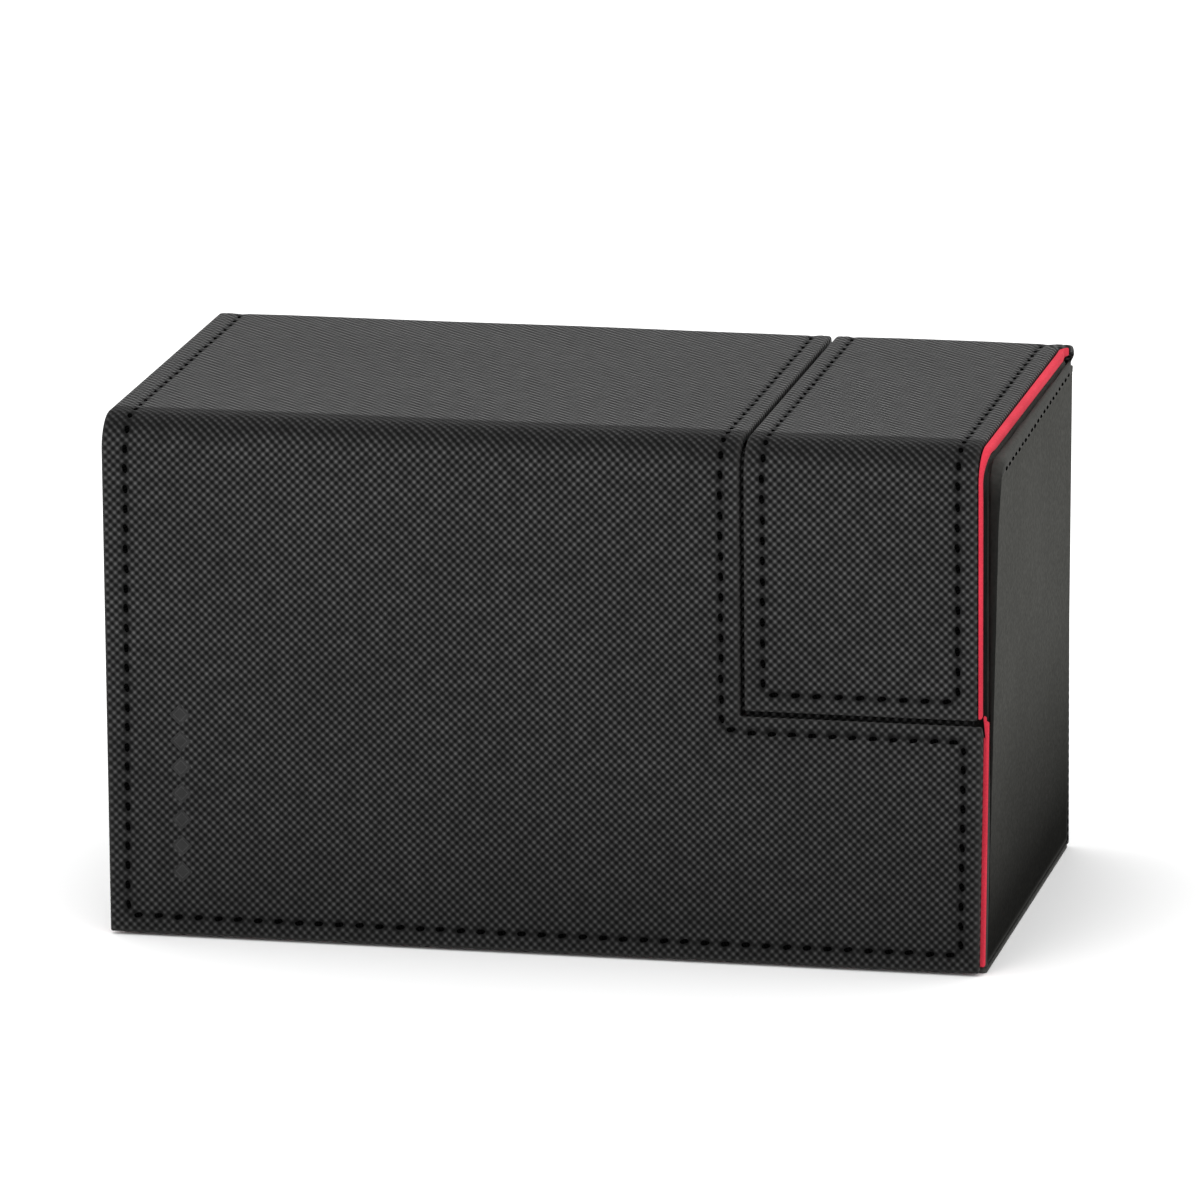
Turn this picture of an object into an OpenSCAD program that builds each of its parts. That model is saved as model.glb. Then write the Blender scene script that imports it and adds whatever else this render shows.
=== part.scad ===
// Card deck box with two separately hinged lids: a wide one over the card bay
// and a narrow one over the accessory bay. Stiff boards are wrapped in embossed
// leathercloth and lined with suede cloth.
// Millimetres. Origin at the middle of the base, +Z up, front towards -Y.

/* [Box] */
// width across the outer faces of the side walls
body_w = 172; // [150:1:240]
// depth from the front flap's outer face to the back panel's outer face
total_d = 97; // [80:1:130]
// height from the table to the top of the closed lids
total_h = 102.4; // [90:0.2:140]
// stiff board of the walls, base and partition
wall_board = 2; // [1.5:0.1:3]
// covering material on walls, base and lids
skin = 0.5; // [0.4:0.05:0.8]
// lining cloth inside the bays
bay_lining = 0.8; // [0.5:0.1:1.2]
// middle of the partition, measured from the left outer face
split_at = 124.9; // [90:0.1:130]

/* [Lids] */
// stiff board inside the lids, flaps and back panel
lid_board = 0.9; // [0.7:0.1:1.5]
// red lining layer on the inside of the lids
lid_lining = 1.1; // [0.8:0.1:1.5]
// space between the two lids
lid_gap = 0.8; // [0.6:0.1:1.5]
// space between the closed lids and the body
shut_gap = 0.3; // [0.25:0.05:0.6]
// outer radius of the soft fold at the front of each lid
fold_r = 6.5; // [5.5:0.1:8]
// outer radius of the soft hinge at the back
hinge_r = 3.5; // [3.2:0.1:4.5]
// slit between a rigid panel and the soft fold beside it
fold_slit = 0.5; // [0.4:0.05:0.8]
// top of the lids down to the lower edge of the small flap
small_flap_drop = 52.1; // [35:0.1:70]
// slit between the small flap and the arm of the main flap below it
arm_gap = 1; // [0.8:0.1:2]
// drop of the skived upper edge of that arm across the flap's thickness
arm_skive = 4.6; // [4.5:0.1:7]
// left edge of the main lid, in from the left outer face
left_in = 0.4; // [0.2:0.1:1]
// right edge of the small lid, in from the right outer face
small_in = 1.9; // [1.6:0.1:3]
// right edge of the main flap's arm, in from the right outer face
arm_in = 1.3; // [1.2:0.1:3]
// how far the red lining shows beyond the outer layer on the right edges
lining_out = 0.85; // [0:0.05:0.9]
// how far it is held back on the other edges
lining_in = 0.3; // [0.2:0.05:1]
// lower edge of the flaps and the back panel above the table
hem = 0.6; // [0.5:0.1:2]

/* [Trim] */
// seam line, in from the edge of the outer layer
seam_in = 3.7; // [3:0.1:6]
// width of the pressed channel under the seams
seam_w = 1.2; // [0.8:0.1:2]
// depth of that channel
seam_d = 0.2; // [0.1:0.05:0.3]
// distance from one stitch to the next
stitch_pitch = 4; // [3:0.1:6]
// length of one stitch
stitch_len = 2.4; // [1:0.1:2.6]
// width of the thread
thread = 0.7; // [0.4:0.05:1]
// depth of the woven binding on the outer face of the side walls
binding_h = 2.2; // [1.5:0.1:5]
// lozenges in the pressed ornament
ornament_n = 7; // [3:1:9]
// distance from one lozenge to the next
ornament_pitch = 5.2; // [4.5:0.1:7]
// width of one lozenge
ornament_w = 4.2; // [2:0.1:4.4]

/* [Closures] */
// diameter of the disc magnets
magnet_d = 10; // [6:0.5:14]
// thickness of the disc magnets in the front wall
magnet_t = 1.2; // [0.8:0.1:1.4]
// magnet centres above the lower edge of each flap
magnet_up = 13; // [9:0.5:20]

/* [Hidden] */
black = [0.07, 0.07, 0.075];
plain_black = [0.1, 0.1, 0.1];
red = [0.75, 0.1, 0.16];
grey = [0.45, 0.43, 0.4];
nickel = [0.75, 0.75, 0.76];
$fn = 64;
eps = 0.01;

// layers through a lid
shell_t = skin + lid_board;
lid_t = shell_t + lid_lining;

// outer planes
yf = -total_d / 2;
yb = total_d / 2;
xr = body_w / 2;
xl = -xr;

// centres of the front fold and the back hinge
fy = yf + fold_r;
fz = total_h - fold_r;
by = yb - hinge_r;
bz = total_h - hinge_r;

// body
y_front = yf + lid_t + shut_gap;
y_back = yb - shell_t;
rim = total_h - lid_t - shut_gap;
back_top = bz - fold_slit;
board_z = skin + wall_board;
pad_z = board_z + bay_lining;
board_x = xr - skin;
bay_x = board_x - wall_board;
y_fb = y_front + skin;
y_bay0 = y_fb + wall_board;
y_bay1 = y_back - wall_board;
lining_top = rim - skin;
xs = xl + split_at;
part_l = xs - wall_board / 2;
part_r = xs + wall_board / 2;
binding_z = rim - binding_h;
corner_r = fold_r - lid_t - shut_gap;

// lids
main_x0 = xl + left_in;
main_x1 = xs - lid_gap / 2;
small_x0 = xs + lid_gap / 2;
small_x1 = xr - small_in;
arm_x1 = xr - arm_in;
flap_top = fz - fold_slit;
small_z0 = total_h - small_flap_drop;
arm_z = small_z0 - arm_gap;

// seam lines
seam_l = main_x0 + seam_in;
seam_m = main_x1 - seam_in;
seam_s = small_x0 + seam_in;
seam_r = small_x1 - seam_in;
seam_arm = arm_x1 - seam_in;
seam_low = hem + seam_in;
seam_small_low = small_z0 + seam_in;
seam_step = arm_z - seam_in;

// magnets: x positions along the lower edge of each flap
main_magnet_x = [main_x0 + 25, (main_x0 + main_x1) / 2, main_x1 - 25, (small_x0 + small_x1) / 2];
small_magnet_x = [small_x0 + 12, small_x1 - 12];

// ---- helpers ----

// box between two corners
module slab(a, b) {
    translate(a) cube([b[0] - a[0], b[1] - a[1], b[2] - a[2]]);
}

// a (y, z) outline drawn along X from x0 to x1
module along_x(x0, x1) {
    translate([x0, 0, 0]) rotate([90, 0, 90]) linear_extrude(height = x1 - x0) children();
}

// quarter ring about (cy, cz), towards sy in Y and upwards
module quarter(cy, cz, r0, r1, sy, x0, x1) {
    along_x(x0, x1) intersection() {
        translate([cy, cz]) difference() {
            circle(r = r1);
            circle(r = r0);
        }
        translate([sy > 0 ? cy : cy - r1, cz]) square([r1, r1]);
    }
}

// outline of a side wall in (y, z), drawn in by i and standing on z0
module wall_outline(i, z0) {
    difference() {
        union() {
            translate([y_front + i, z0]) square([by - fold_slit - y_front - i, rim - i - z0]);
            translate([by - fold_slit - 1, z0]) square([y_back - by + fold_slit + 1, back_top - z0]);
        }
        difference() {
            translate([y_front - 1, fz]) square([fy - y_front + 1, rim - fz + 1]);
            translate([fy, fz]) circle(r = corner_r - i);
        }
    }
}

// four butted lining panels round a bay
module bay_panels(x0, x1) {
    t = bay_lining;
    slab([x0, y_bay0 + t, board_z], [x0 + t, y_bay1 - t, lining_top]);
    slab([x1 - t, y_bay0 + t, board_z], [x1, y_bay1 - t, lining_top]);
    slab([x0, y_bay0, board_z], [x1, y_bay0 + t - 0.05, lining_top - 0.4]);
    slab([x0, y_bay1 - t + 0.05, board_z], [x1, y_bay1, back_top]);
}

// channels under straight seams, on a panel whose outer face is at v
module channel_y(x, y0, y1, v) {
    slab([x - seam_w / 2, y0, v - seam_d], [x + seam_w / 2, y1, v + 1]);
}
module channel_z(x, z0, z1) {
    slab([x - seam_w / 2, yf - 1, z0], [x + seam_w / 2, yf + seam_d, z1]);
}
module channel_x(x0, x1, z) {
    slab([x0, yf - 1, z - seam_w / 2], [x1, yf + seam_d, z + seam_w / 2]);
}

// rows of stitches; each thread lies in the channel and stands a little proud
function count(l) = max(1, round(l / stitch_pitch));
module row_y(x, y0, y1, v) {
    n = count(y1 - y0);
    for (i = [0:n - 1])
        translate([x, y0 + (i + 0.5) * (y1 - y0) / n, v - seam_d / 2 + 0.05])
            cube([thread, stitch_len, seam_d + 0.1], center = true);
}
module row_z(x, z0, z1, v, s) {
    n = count(z1 - z0);
    for (i = [0:n - 1])
        translate([x, v + s * (seam_d / 2 - 0.05), z0 + (i + 0.5) * (z1 - z0) / n])
            cube([thread, seam_d + 0.1, stitch_len], center = true);
}
module row_x(x0, x1, z, v, s) {
    n = count(x1 - x0);
    for (i = [0:n - 1])
        translate([x0 + (i + 0.5) * (x1 - x0) / n, v + s * (seam_d / 2 - 0.05), z])
            cube([stitch_len, seam_d + 0.1, thread], center = true);
}
module row_fold(x, cy, cz, r, sy) {
    n = count(r * PI / 2);
    len = min(stitch_len, r * PI / 2 / n - 0.4);
    for (i = [0:n - 1])
        translate([x, cy, cz]) rotate([sy * (-(i + 0.5) * 90 / n), 0, 0])
            translate([0, 0, r - seam_d / 2 + 0.05]) cube([thread, len, seam_d + 0.1], center = true);
}

// ---- body ----

module base_board() {
    color(grey) slab([-board_x, y_fb, skin], [board_x, y_back, board_z]);
}

module bottom_cover() {
    color(plain_black) slab([xl, y_front, 0], [xr, y_back, skin]);
}

module side_board(s) {
    x0 = s > 0 ? bay_x : -board_x;
    color(grey) along_x(x0, x0 + wall_board) wall_outline(skin, board_z);
}
module left_wall_board() {
    side_board(-1);
}
module right_wall_board() {
    side_board(1);
}

// its outer face has a pocket for each magnet
module front_wall_board() {
    color(grey) difference() {
        intersection() {
            along_x(-bay_x, bay_x) wall_outline(skin, board_z);
            slab([-xr, y_front, 0], [xr, y_bay0, total_h]);
        }
        wall_magnets(main_magnet_x, hem + magnet_up);
        wall_magnets(small_magnet_x, small_z0 + magnet_up);
    }
}

module back_wall_board() {
    color(grey) slab([-bay_x, y_bay1, board_z], [bay_x, y_back, back_top]);
}

module partition_board() {
    color(grey) slab([part_l, y_bay0, board_z], [part_r, y_bay1, back_top]);
}

// plain grained panel on the outer face, below the woven binding
module side_cover(s) {
    x0 = s > 0 ? board_x : xl;
    color(plain_black) intersection() {
        along_x(x0, x0 + skin) wall_outline(0, skin);
        slab([xl, yf, 0], [xr, yb, binding_z]);
    }
}
module left_wall_cover() {
    side_cover(-1);
}
module right_wall_cover() {
    side_cover(1);
}

// woven strip folded over the rim and round the front edge of a side wall
module rim_binding(s) {
    bay = bay_x - bay_lining;
    color(black) difference() {
        along_x(s > 0 ? bay_x : xl, s > 0 ? xr : -bay_x) wall_outline(0, skin);
        along_x(s > 0 ? bay_x - 1 : -board_x, s > 0 ? board_x : -bay_x + 1) wall_outline(skin, skin);
        slab([s > 0 ? board_x - eps : xl - 1, yf, 0], [s > 0 ? xr + 1 : -board_x + eps, yb, binding_z]);
        slab([s > 0 ? bay : -board_x, y_bay0, 0], [s > 0 ? board_x : -bay, yb, lining_top]);
    }
}
module left_rim_binding() {
    rim_binding(-1);
}
module right_rim_binding() {
    rim_binding(1);
}

module front_wall_cover() {
    color(black) intersection() {
        along_x(-bay_x, bay_x) difference() {
            wall_outline(0, skin);
            wall_outline(skin, skin);
        }
        slab([-xr, y_front, 0], [xr, y_bay0, total_h]);
    }
}

module back_panel_board() {
    color(grey) slab([main_x0 + skin, y_back, hem + skin], [-main_x0 - skin, yb - skin, back_top]);
}

module back_panel_cover() {
    x1 = -main_x0;
    color(black) difference() {
        slab([main_x0, y_back, hem], [x1, yb, back_top]);
        slab([main_x0 + skin, y_back - 1, hem + skin], [x1 - skin, yb - skin, back_top + 1]);
        for (x = [seam_l, -seam_l])
            slab([x - seam_w / 2, yb - seam_d, seam_low], [x + seam_w / 2, yb + 1, back_top + 1]);
        slab([seam_l - seam_w / 2, yb - seam_d, seam_low - seam_w / 2],
             [-seam_l + seam_w / 2, yb + 1, seam_low + seam_w / 2]);
    }
}

module card_bay_lining() {
    color(red) bay_panels(-bay_x, part_l);
}

module card_bay_floor() {
    t = bay_lining;
    color(red) slab([-bay_x + t, y_bay0 + t, board_z], [part_l - t, y_bay1 - t, pad_z]);
}

module dice_bay_lining() {
    color(red) bay_panels(part_r, bay_x);
}

module dice_bay_floor() {
    t = bay_lining;
    color(red) slab([part_r + t, y_bay0 + t, board_z], [bay_x - t, y_bay1 - t, pad_z]);
}

// strip folded over the top edge of the partition
module partition_cap() {
    t = bay_lining;
    color(red) difference() {
        slab([part_l - t, y_bay0 + t, back_top], [part_r + t, by - fold_slit - 1, rim]);
        slab([part_l - t - 1, y_bay0, 0], [part_l, y_bay1, lining_top]);
        slab([part_r, y_bay0, 0], [part_r + t + 1, y_bay1, lining_top]);
    }
}

module wall_magnets(list, z) {
    color(nickel) for (x = list)
        translate([x, y_fb + magnet_t, z]) rotate([90, 0, 0]) cylinder(d = magnet_d, h = magnet_t);
}
module main_catch_magnets() {
    wall_magnets(main_magnet_x, hem + magnet_up);
}
module small_catch_magnets() {
    wall_magnets(small_magnet_x, small_z0 + magnet_up);
}

module rim_stitching() {
    n = count(y_bay1 - y_bay0);
    z = binding_z + thread / 2 + 0.15;
    color(black) for (s = [-1, 1], i = [0:n - 1])
        translate([s * (xr + 0.05), y_bay0 + (i + 0.5) * (y_bay1 - y_bay0) / n, z])
            cube([0.1, stitch_len, thread], center = true);
}

module back_panel_stitching() {
    color(black) {
        for (x = [seam_l, -seam_l])
            row_z(x, seam_low, back_top, yb, -1);
        row_x(seam_l + 2, -seam_l - 2, seam_low, yb, -1);
    }
}

// ---- lids ----

module lid_board_part(x0, x1) {
    color(grey) slab([x0 + skin, fy, total_h - shell_t], [x1 - skin, by, total_h - skin]);
}

// outer layer: a sheet turned down over both side edges of the board
module lid_cover_part(x0, x1, s0, s1) {
    color(black) difference() {
        slab([x0, fy, total_h - shell_t], [x1, by, total_h]);
        slab([x0 + skin, fy - 1, total_h - shell_t - 1], [x1 - skin, by + 1, total_h - skin]);
        channel_y(s0, fy - 1, by + 1, total_h);
        channel_y(s1, fy - 1, by + 1, total_h);
    }
}

module lid_lining_part(x0, x1) {
    color(red) slab([x0, fy, total_h - lid_t], [x1, by, total_h - shell_t]);
}

module bend_cover_part(cy, cz, r, sy, x0, x1, s0, s1) {
    color(black) difference() {
        quarter(cy, cz, r - shell_t, r, sy, x0, x1);
        for (x = [s0, s1])
            quarter(cy, cz, r - seam_d, r + 1, sy, x - seam_w / 2, x + seam_w / 2);
    }
}

module bend_lining_part(cy, cz, r, sy, x0, x1) {
    color(red) quarter(cy, cz, r - lid_t, r - shell_t, sy, x0, x1);
}

module lid_stitches(s0, s1) {
    color(black) for (x = [s0, s1]) {
        row_y(x, fy, by, total_h);
        row_fold(x, fy, fz, fold_r, -1);
        row_fold(x, by, bz, hinge_r, 1);
    }
}

module flap_magnets(list, z) {
    color(nickel) for (x = list)
        translate([x, yf + shell_t, z]) rotate([90, 0, 0]) cylinder(d = magnet_d, h = lid_board);
}

module flap_board_pockets(list, z) {
    for (x = list)
        translate([x, yf + shell_t + 1, z]) rotate([90, 0, 0]) cylinder(d = magnet_d, h = lid_board + 2);
}

// ---- main lid ----

module main_lid_board() {
    lid_board_part(main_x0, main_x1);
}
module main_lid_cover() {
    lid_cover_part(main_x0, main_x1, seam_l, seam_m);
}
module main_lid_lining() {
    lid_lining_part(main_x0 + lining_in, main_x1 - lining_in);
}
module main_fold_cover() {
    bend_cover_part(fy, fz, fold_r, -1, main_x0, main_x1, seam_l, seam_m);
}
module main_fold_lining() {
    bend_lining_part(fy, fz, fold_r, -1, main_x0 + lining_in, main_x1 - lining_in);
}
module main_hinge_cover() {
    bend_cover_part(by, bz, hinge_r, 1, main_x0, main_x1, seam_l, seam_m);
}
module main_hinge_lining() {
    bend_lining_part(by, bz, hinge_r, 1, main_x0 + lining_in, main_x1 - lining_in);
}
module main_lid_stitching() {
    lid_stitches(seam_l, seam_m);
}

// ---- main flap: full height at the left, an arm under the small flap at the right ----

// L outline between y0 and y1; i draws the outer edges in, x2 is the arm's end
module flap_l(x0, x1, x2, z0, z1, y0, y1) {
    slab([x0, y0, z0], [x1, y1, flap_top]);
    slab([x1 - 1, y0, z0], [x2, y1, z1]);
}

// wedge taken off the arm's upper edge, so that it lifts past the small flap
module skive() {
    along_x(main_x1, xr + 1) polygon([
        [yf - eps, arm_z],
        [yf + lid_t + 1, arm_z - arm_skive * (lid_t + 1) / lid_t],
        [yf + lid_t + 1, arm_z + 5],
        [yf - eps, arm_z + 5]
    ]);
}

module main_flap_board() {
    color(grey) difference() {
        flap_l(main_x0 + skin, main_x1 - skin, arm_x1 - skin, hem + skin, arm_z - skin,
               yf + skin, yf + shell_t);
        skive();
        flap_board_pockets(main_magnet_x, hem + magnet_up);
    }
}

module ornament() {
    translate([main_x0 + 14.6, yf + seam_d, hem + 28.2])
        for (i = [0:ornament_n - 1])
            translate([0, 0, (i - (ornament_n - 1) / 2) * ornament_pitch])
                rotate([90, 0, 0]) cylinder(d = ornament_w, h = 2, $fn = 4);
}

module main_flap_cover() {
    color(black) difference() {
        flap_l(main_x0, main_x1, arm_x1, hem, arm_z, yf, yf + shell_t);
        flap_l(main_x0 + skin, main_x1 - skin, arm_x1 - skin, hem + skin, arm_z - skin,
               yf + skin, yf + lid_t);
        slab([main_x0 + skin, yf + skin, flap_top - 1], [main_x1 - skin, yf + lid_t, flap_top + 1]);
        skive();
        channel_z(seam_l, seam_low, flap_top + 1);
        channel_z(seam_m, seam_step, flap_top + 1);
        channel_z(seam_arm, seam_low, seam_step);
        channel_x(seam_l - seam_w / 2, seam_arm + seam_w / 2, seam_low);
        channel_x(seam_m - seam_w / 2, seam_arm + seam_w / 2, seam_step);
        ornament();
    }
}

module main_flap_lining() {
    color(red) difference() {
        flap_l(main_x0 + lining_in, main_x1 - lining_in, arm_x1 + lining_out, hem + lining_in,
               arm_z, yf + shell_t, yf + lid_t);
        skive();
    }
}

module main_flap_magnets() {
    flap_magnets(main_magnet_x, hem + magnet_up);
}

module main_flap_stitching() {
    color(black) {
        row_z(seam_l, seam_low, flap_top, yf, 1);
        row_z(seam_m, seam_step, flap_top, yf, 1);
        row_x(seam_m + 2, seam_arm - 2, seam_step, yf, 1);
        row_z(seam_arm, seam_low, seam_step, yf, 1);
        row_x(seam_l + 2, seam_arm - 2, seam_low, yf, 1);
    }
}

// ---- small lid ----

module small_lid_board() {
    lid_board_part(small_x0, small_x1);
}
module small_lid_cover() {
    lid_cover_part(small_x0, small_x1, seam_s, seam_r);
}
module small_lid_lining() {
    lid_lining_part(small_x0 + lining_in, small_x1 + lining_out);
}
module small_fold_cover() {
    bend_cover_part(fy, fz, fold_r, -1, small_x0, small_x1, seam_s, seam_r);
}
module small_fold_lining() {
    bend_lining_part(fy, fz, fold_r, -1, small_x0 + lining_in, small_x1 + lining_out);
}
module small_hinge_cover() {
    bend_cover_part(by, bz, hinge_r, 1, small_x0, small_x1, seam_s, seam_r);
}
module small_hinge_lining() {
    bend_lining_part(by, bz, hinge_r, 1, small_x0 + lining_in, small_x1 + lining_out);
}
module small_lid_stitching() {
    lid_stitches(seam_s, seam_r);
}

// ---- small flap ----

module small_flap_board() {
    color(grey) difference() {
        slab([small_x0 + skin, yf + skin, small_z0 + skin], [small_x1 - skin, yf + shell_t, flap_top]);
        flap_board_pockets(small_magnet_x, small_z0 + magnet_up);
    }
}

module small_flap_cover() {
    color(black) difference() {
        slab([small_x0, yf, small_z0], [small_x1, yf + shell_t, flap_top]);
        slab([small_x0 + skin, yf + skin, small_z0 + skin], [small_x1 - skin, yf + lid_t, flap_top + 1]);
        for (x = [seam_s, seam_r])
            channel_z(x, seam_small_low, flap_top + 1);
        channel_x(seam_s - seam_w / 2, seam_r + seam_w / 2, seam_small_low);
    }
}

module small_flap_lining() {
    color(red) slab([small_x0 + lining_in, yf + shell_t, small_z0 + lining_in],
                    [small_x1 + lining_out, yf + lid_t, flap_top]);
}

module small_flap_magnets() {
    flap_magnets(small_magnet_x, small_z0 + magnet_up);
}

module small_flap_stitching() {
    color(black) {
        for (x = [seam_s, seam_r])
            row_z(x, seam_small_low, flap_top, yf, 1);
        row_x(seam_s + 2, seam_r - 2, seam_small_low, yf, 1);
    }
}

// ---- drawing ----

base_board();
bottom_cover();
left_wall_board();
right_wall_board();
front_wall_board();
back_wall_board();
partition_board();
left_wall_cover();
right_wall_cover();
left_rim_binding();
right_rim_binding();
front_wall_cover();
back_panel_board();
back_panel_cover();
card_bay_lining();
card_bay_floor();
dice_bay_lining();
dice_bay_floor();
partition_cap();
main_catch_magnets();
small_catch_magnets();
rim_stitching();
back_panel_stitching();
main_lid_board();
main_lid_cover();
main_lid_lining();
main_fold_cover();
main_fold_lining();
main_hinge_cover();
main_hinge_lining();
main_lid_stitching();
main_flap_board();
main_flap_cover();
main_flap_lining();
main_flap_magnets();
main_flap_stitching();
small_lid_board();
small_lid_cover();
small_lid_lining();
small_fold_cover();
small_fold_lining();
small_hinge_cover();
small_hinge_lining();
small_lid_stitching();
small_flap_board();
small_flap_cover();
small_flap_lining();
small_flap_magnets();
small_flap_stitching();
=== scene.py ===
"""Card deck box with two lids: leathercloth skins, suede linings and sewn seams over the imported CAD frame.

Geometry is worked out in millimetres and turned into metres where a mesh is made. A point of a lid's sheet
is (u, v, depth): u runs across the box, v up the front, over the fold, along the top and over the hinge, and
depth goes in from the outer face.
"""

import math
from collections import namedtuple

import bpy
import numpy as np
from mathutils import Matrix, Vector


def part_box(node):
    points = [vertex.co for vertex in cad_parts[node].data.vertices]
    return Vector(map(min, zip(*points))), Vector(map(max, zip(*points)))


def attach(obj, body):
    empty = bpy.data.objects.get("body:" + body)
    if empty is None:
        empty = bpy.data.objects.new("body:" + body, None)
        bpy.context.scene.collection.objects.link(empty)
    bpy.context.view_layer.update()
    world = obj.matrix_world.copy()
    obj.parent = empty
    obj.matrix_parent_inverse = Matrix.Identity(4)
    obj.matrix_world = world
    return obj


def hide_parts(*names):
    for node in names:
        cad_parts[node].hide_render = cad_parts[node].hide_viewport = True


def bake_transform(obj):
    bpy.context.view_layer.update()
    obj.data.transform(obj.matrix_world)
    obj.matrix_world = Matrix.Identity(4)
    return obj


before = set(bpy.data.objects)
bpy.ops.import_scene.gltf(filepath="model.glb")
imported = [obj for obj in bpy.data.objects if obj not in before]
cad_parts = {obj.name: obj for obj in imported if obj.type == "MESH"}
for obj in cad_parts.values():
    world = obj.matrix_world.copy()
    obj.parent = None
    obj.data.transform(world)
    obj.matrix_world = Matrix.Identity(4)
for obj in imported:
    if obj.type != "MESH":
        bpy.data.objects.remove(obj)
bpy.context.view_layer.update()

MM = 0.001

# ---- sizes from the frame, in mm ----


def span(node):
    """Lowest and highest corner of a CAD node, in mm."""
    low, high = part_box(node)
    return np.array(low) / MM, np.array(high) / MM


fold_low, fold_high = span("main_fold_cover")
hinge_low, hinge_high = span("main_hinge_cover")
flap_low, flap_high = span("main_flap_cover")
lid_low, lid_high = span("main_lid_cover")
small_low, small_high = span("small_flap_cover")
small_lining_low, small_lining_high = span("small_flap_lining")
wall_low, wall_high = span("right_wall_cover")
rim_low, rim_high = span("right_rim_binding")
panel_low, panel_high = span("back_panel_cover")

FRONT, TOP, BACK = fold_low[1], fold_high[2], hinge_high[1]
FOLD_Y, FOLD_Z = fold_high[1], fold_low[2]
FOLD_R = TOP - FOLD_Z
HINGE_Y, HINGE_Z = hinge_low[1], hinge_low[2]
HINGE_R = TOP - HINGE_Z
HEM = flap_low[2]
SHELL = flap_high[1] - FRONT
LID = span("main_flap_lining")[1][1] - FRONT
SKIN = wall_high[0] - wall_low[0]
MAIN_X0, MAIN_X1, ARM_X1 = lid_low[0], lid_high[0], flap_high[0]
SMALL_X0, SMALL_X1 = small_low[0], small_high[0]
SMALL_Z = small_low[2]
LINING_OUT = small_lining_high[0] - SMALL_X1
LINING_IN = small_lining_low[0] - SMALL_X0
SIDE = wall_high[0]
BOARD_IN = span("right_wall_board")[0][0]
BODY_FRONT, BODY_BACK, RIM = rim_low[1], wall_high[1], rim_high[2]
CORNER_R = FOLD_R - (BODY_FRONT - FRONT)
PANEL_TOP = panel_high[2]

# sizes that the nodes' boxes don't show
ARM_GAP = 1.0  # between the small flap's foot and the arm under it
ARM_SKIVE = 4.6  # drop of the arm's bevelled upper edge through its thickness
ARM_TOP = SMALL_Z - ARM_GAP
FLAP_EASE = 0.2  # how far the cloth's edges reach into that gap
SEAM_IN = 3.7  # from a sheet's edge to its seam
STITCH_PITCH = 4.0
SLIT = 0.5  # between a bend and the board beside it
EDGE_R = 0.55  # a skin's turned edge
LINING_HID = 1.0  # how far a lining's edge hides inside the skin's
LEG_SPREAD, TOP_SPREAD = 0.05, 0.85  # more overhang of the small lid's lining, on its leg and then on its top
TUCK_AT, TUCK_IN = -1.0, 2.0  # where that overhang draws in, from the hinge on, and how far inside the skin
HINGE_FLARE = -MAIN_X0 - SMALL_X1  # the small lid's right edge meets the back panel's at the hinge
HINGE_BULGE = 0.9  # and bulges past it
HINGE_EASE = 0.45  # the lids' other corners at the hinge draw in
ARM_LEAN, ARM_IN = 0.016, 0.29  # the arm's right edge leans out with height, and its foot stands in
TAB_RISE = 1.25  # the arm's lining stands up beside the small flap's
ORNAMENT_X, ORNAMENT_Z = MAIN_X0 + 14.6, HEM + 28.2
ORNAMENT_COUNT, ORNAMENT_PITCH, ORNAMENT_W, ORNAMENT_H = 7, 5.2, 4.2, 4.4
ORNAMENT_DEEP = 0.22
STITCH_SLANT = 0.25
BAY_LINING = 0.8

# places along v
V_FOLD = FOLD_Z - HEM
V_TOP = V_FOLD + FOLD_R * math.pi / 2
V_SPLIT = V_TOP + 2.0
V_HINGE = V_TOP + HINGE_Y - FOLD_Y
V_BACK = V_HINGE + HINGE_R * math.pi / 2
V_END = V_BACK + 1.5
V_ARM = ARM_TOP - HEM + FLAP_EASE
V_SMALL = SMALL_Z - HEM - FLAP_EASE

# ---- small maths ----


def ramp(x, low, high):
    """0 below low, 1 above high, smooth between."""
    t = np.clip((x - low) / (high - low), 0, 1)
    return t * t * (3 - 2 * t)


def gauss(x, width):
    """1 at 0, falling to 0 over about twice the width."""
    return np.exp(-((x / width) ** 2))


def rolled(d, radius):
    """How far a turned edge of that radius falls away, d in from the edge."""
    t = np.clip(radius - d, 0, radius)
    return radius - np.sqrt(np.maximum(radius**2 - t**2, 0))


def waves(u, v, size):
    """Slow unevenness between -1 and 1, about size mm from crest to crest."""
    k = 2 * math.pi / size
    a = np.sin(k * (0.83 * u + 0.31 * v) + 1.1) + np.sin(k * (0.71 * v - 0.42 * u) + 2.7)
    return (a + np.sin(k * 1.73 * (0.5 * u + 0.9 * v) + 0.4)) / 3


FINEST = 0.045  # the least step of a grid


def lines(low, high, step, *marks):
    """Grid lines from low to high, about step apart, that pass through every mark (place, offsets)."""
    wanted = sorted({low, high} | {p + o for p, offsets in marks for o in offsets if low < p + o < high})
    exact = [wanted[0]]
    for x in wanted[1:]:
        if x - exact[-1] > FINEST:
            exact.append(x)
    exact[-1] = high
    parts = []
    for a, b in zip(exact, exact[1:]):
        parts.append(np.linspace(a, b, max(1, round((b - a) / step)), endpoint=False))
    return np.append(np.concatenate(parts), high)


# offsets of grid lines in from a turned edge, out to one, and on both sides of a seam
RISE = (0, 0.06, 0.16, 0.3, 0.45, 0.6, 0.9, 1.2, 1.5, 1.8)
FALL = tuple(-x for x in RISE)
SHORT_RISE = RISE[:6]
ACROSS = (-1.2, -0.75, -0.38, 0, 0.38, 0.75, 1.2)


def edged(low, high, step, *marks, fine=RISE):
    """Grid lines from low to high that crowd towards both ends, where the edges are turned."""
    return lines(low, high, step, (low, fine), (high, [-x for x in fine]), *marks)


# ---- materials ----


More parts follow.
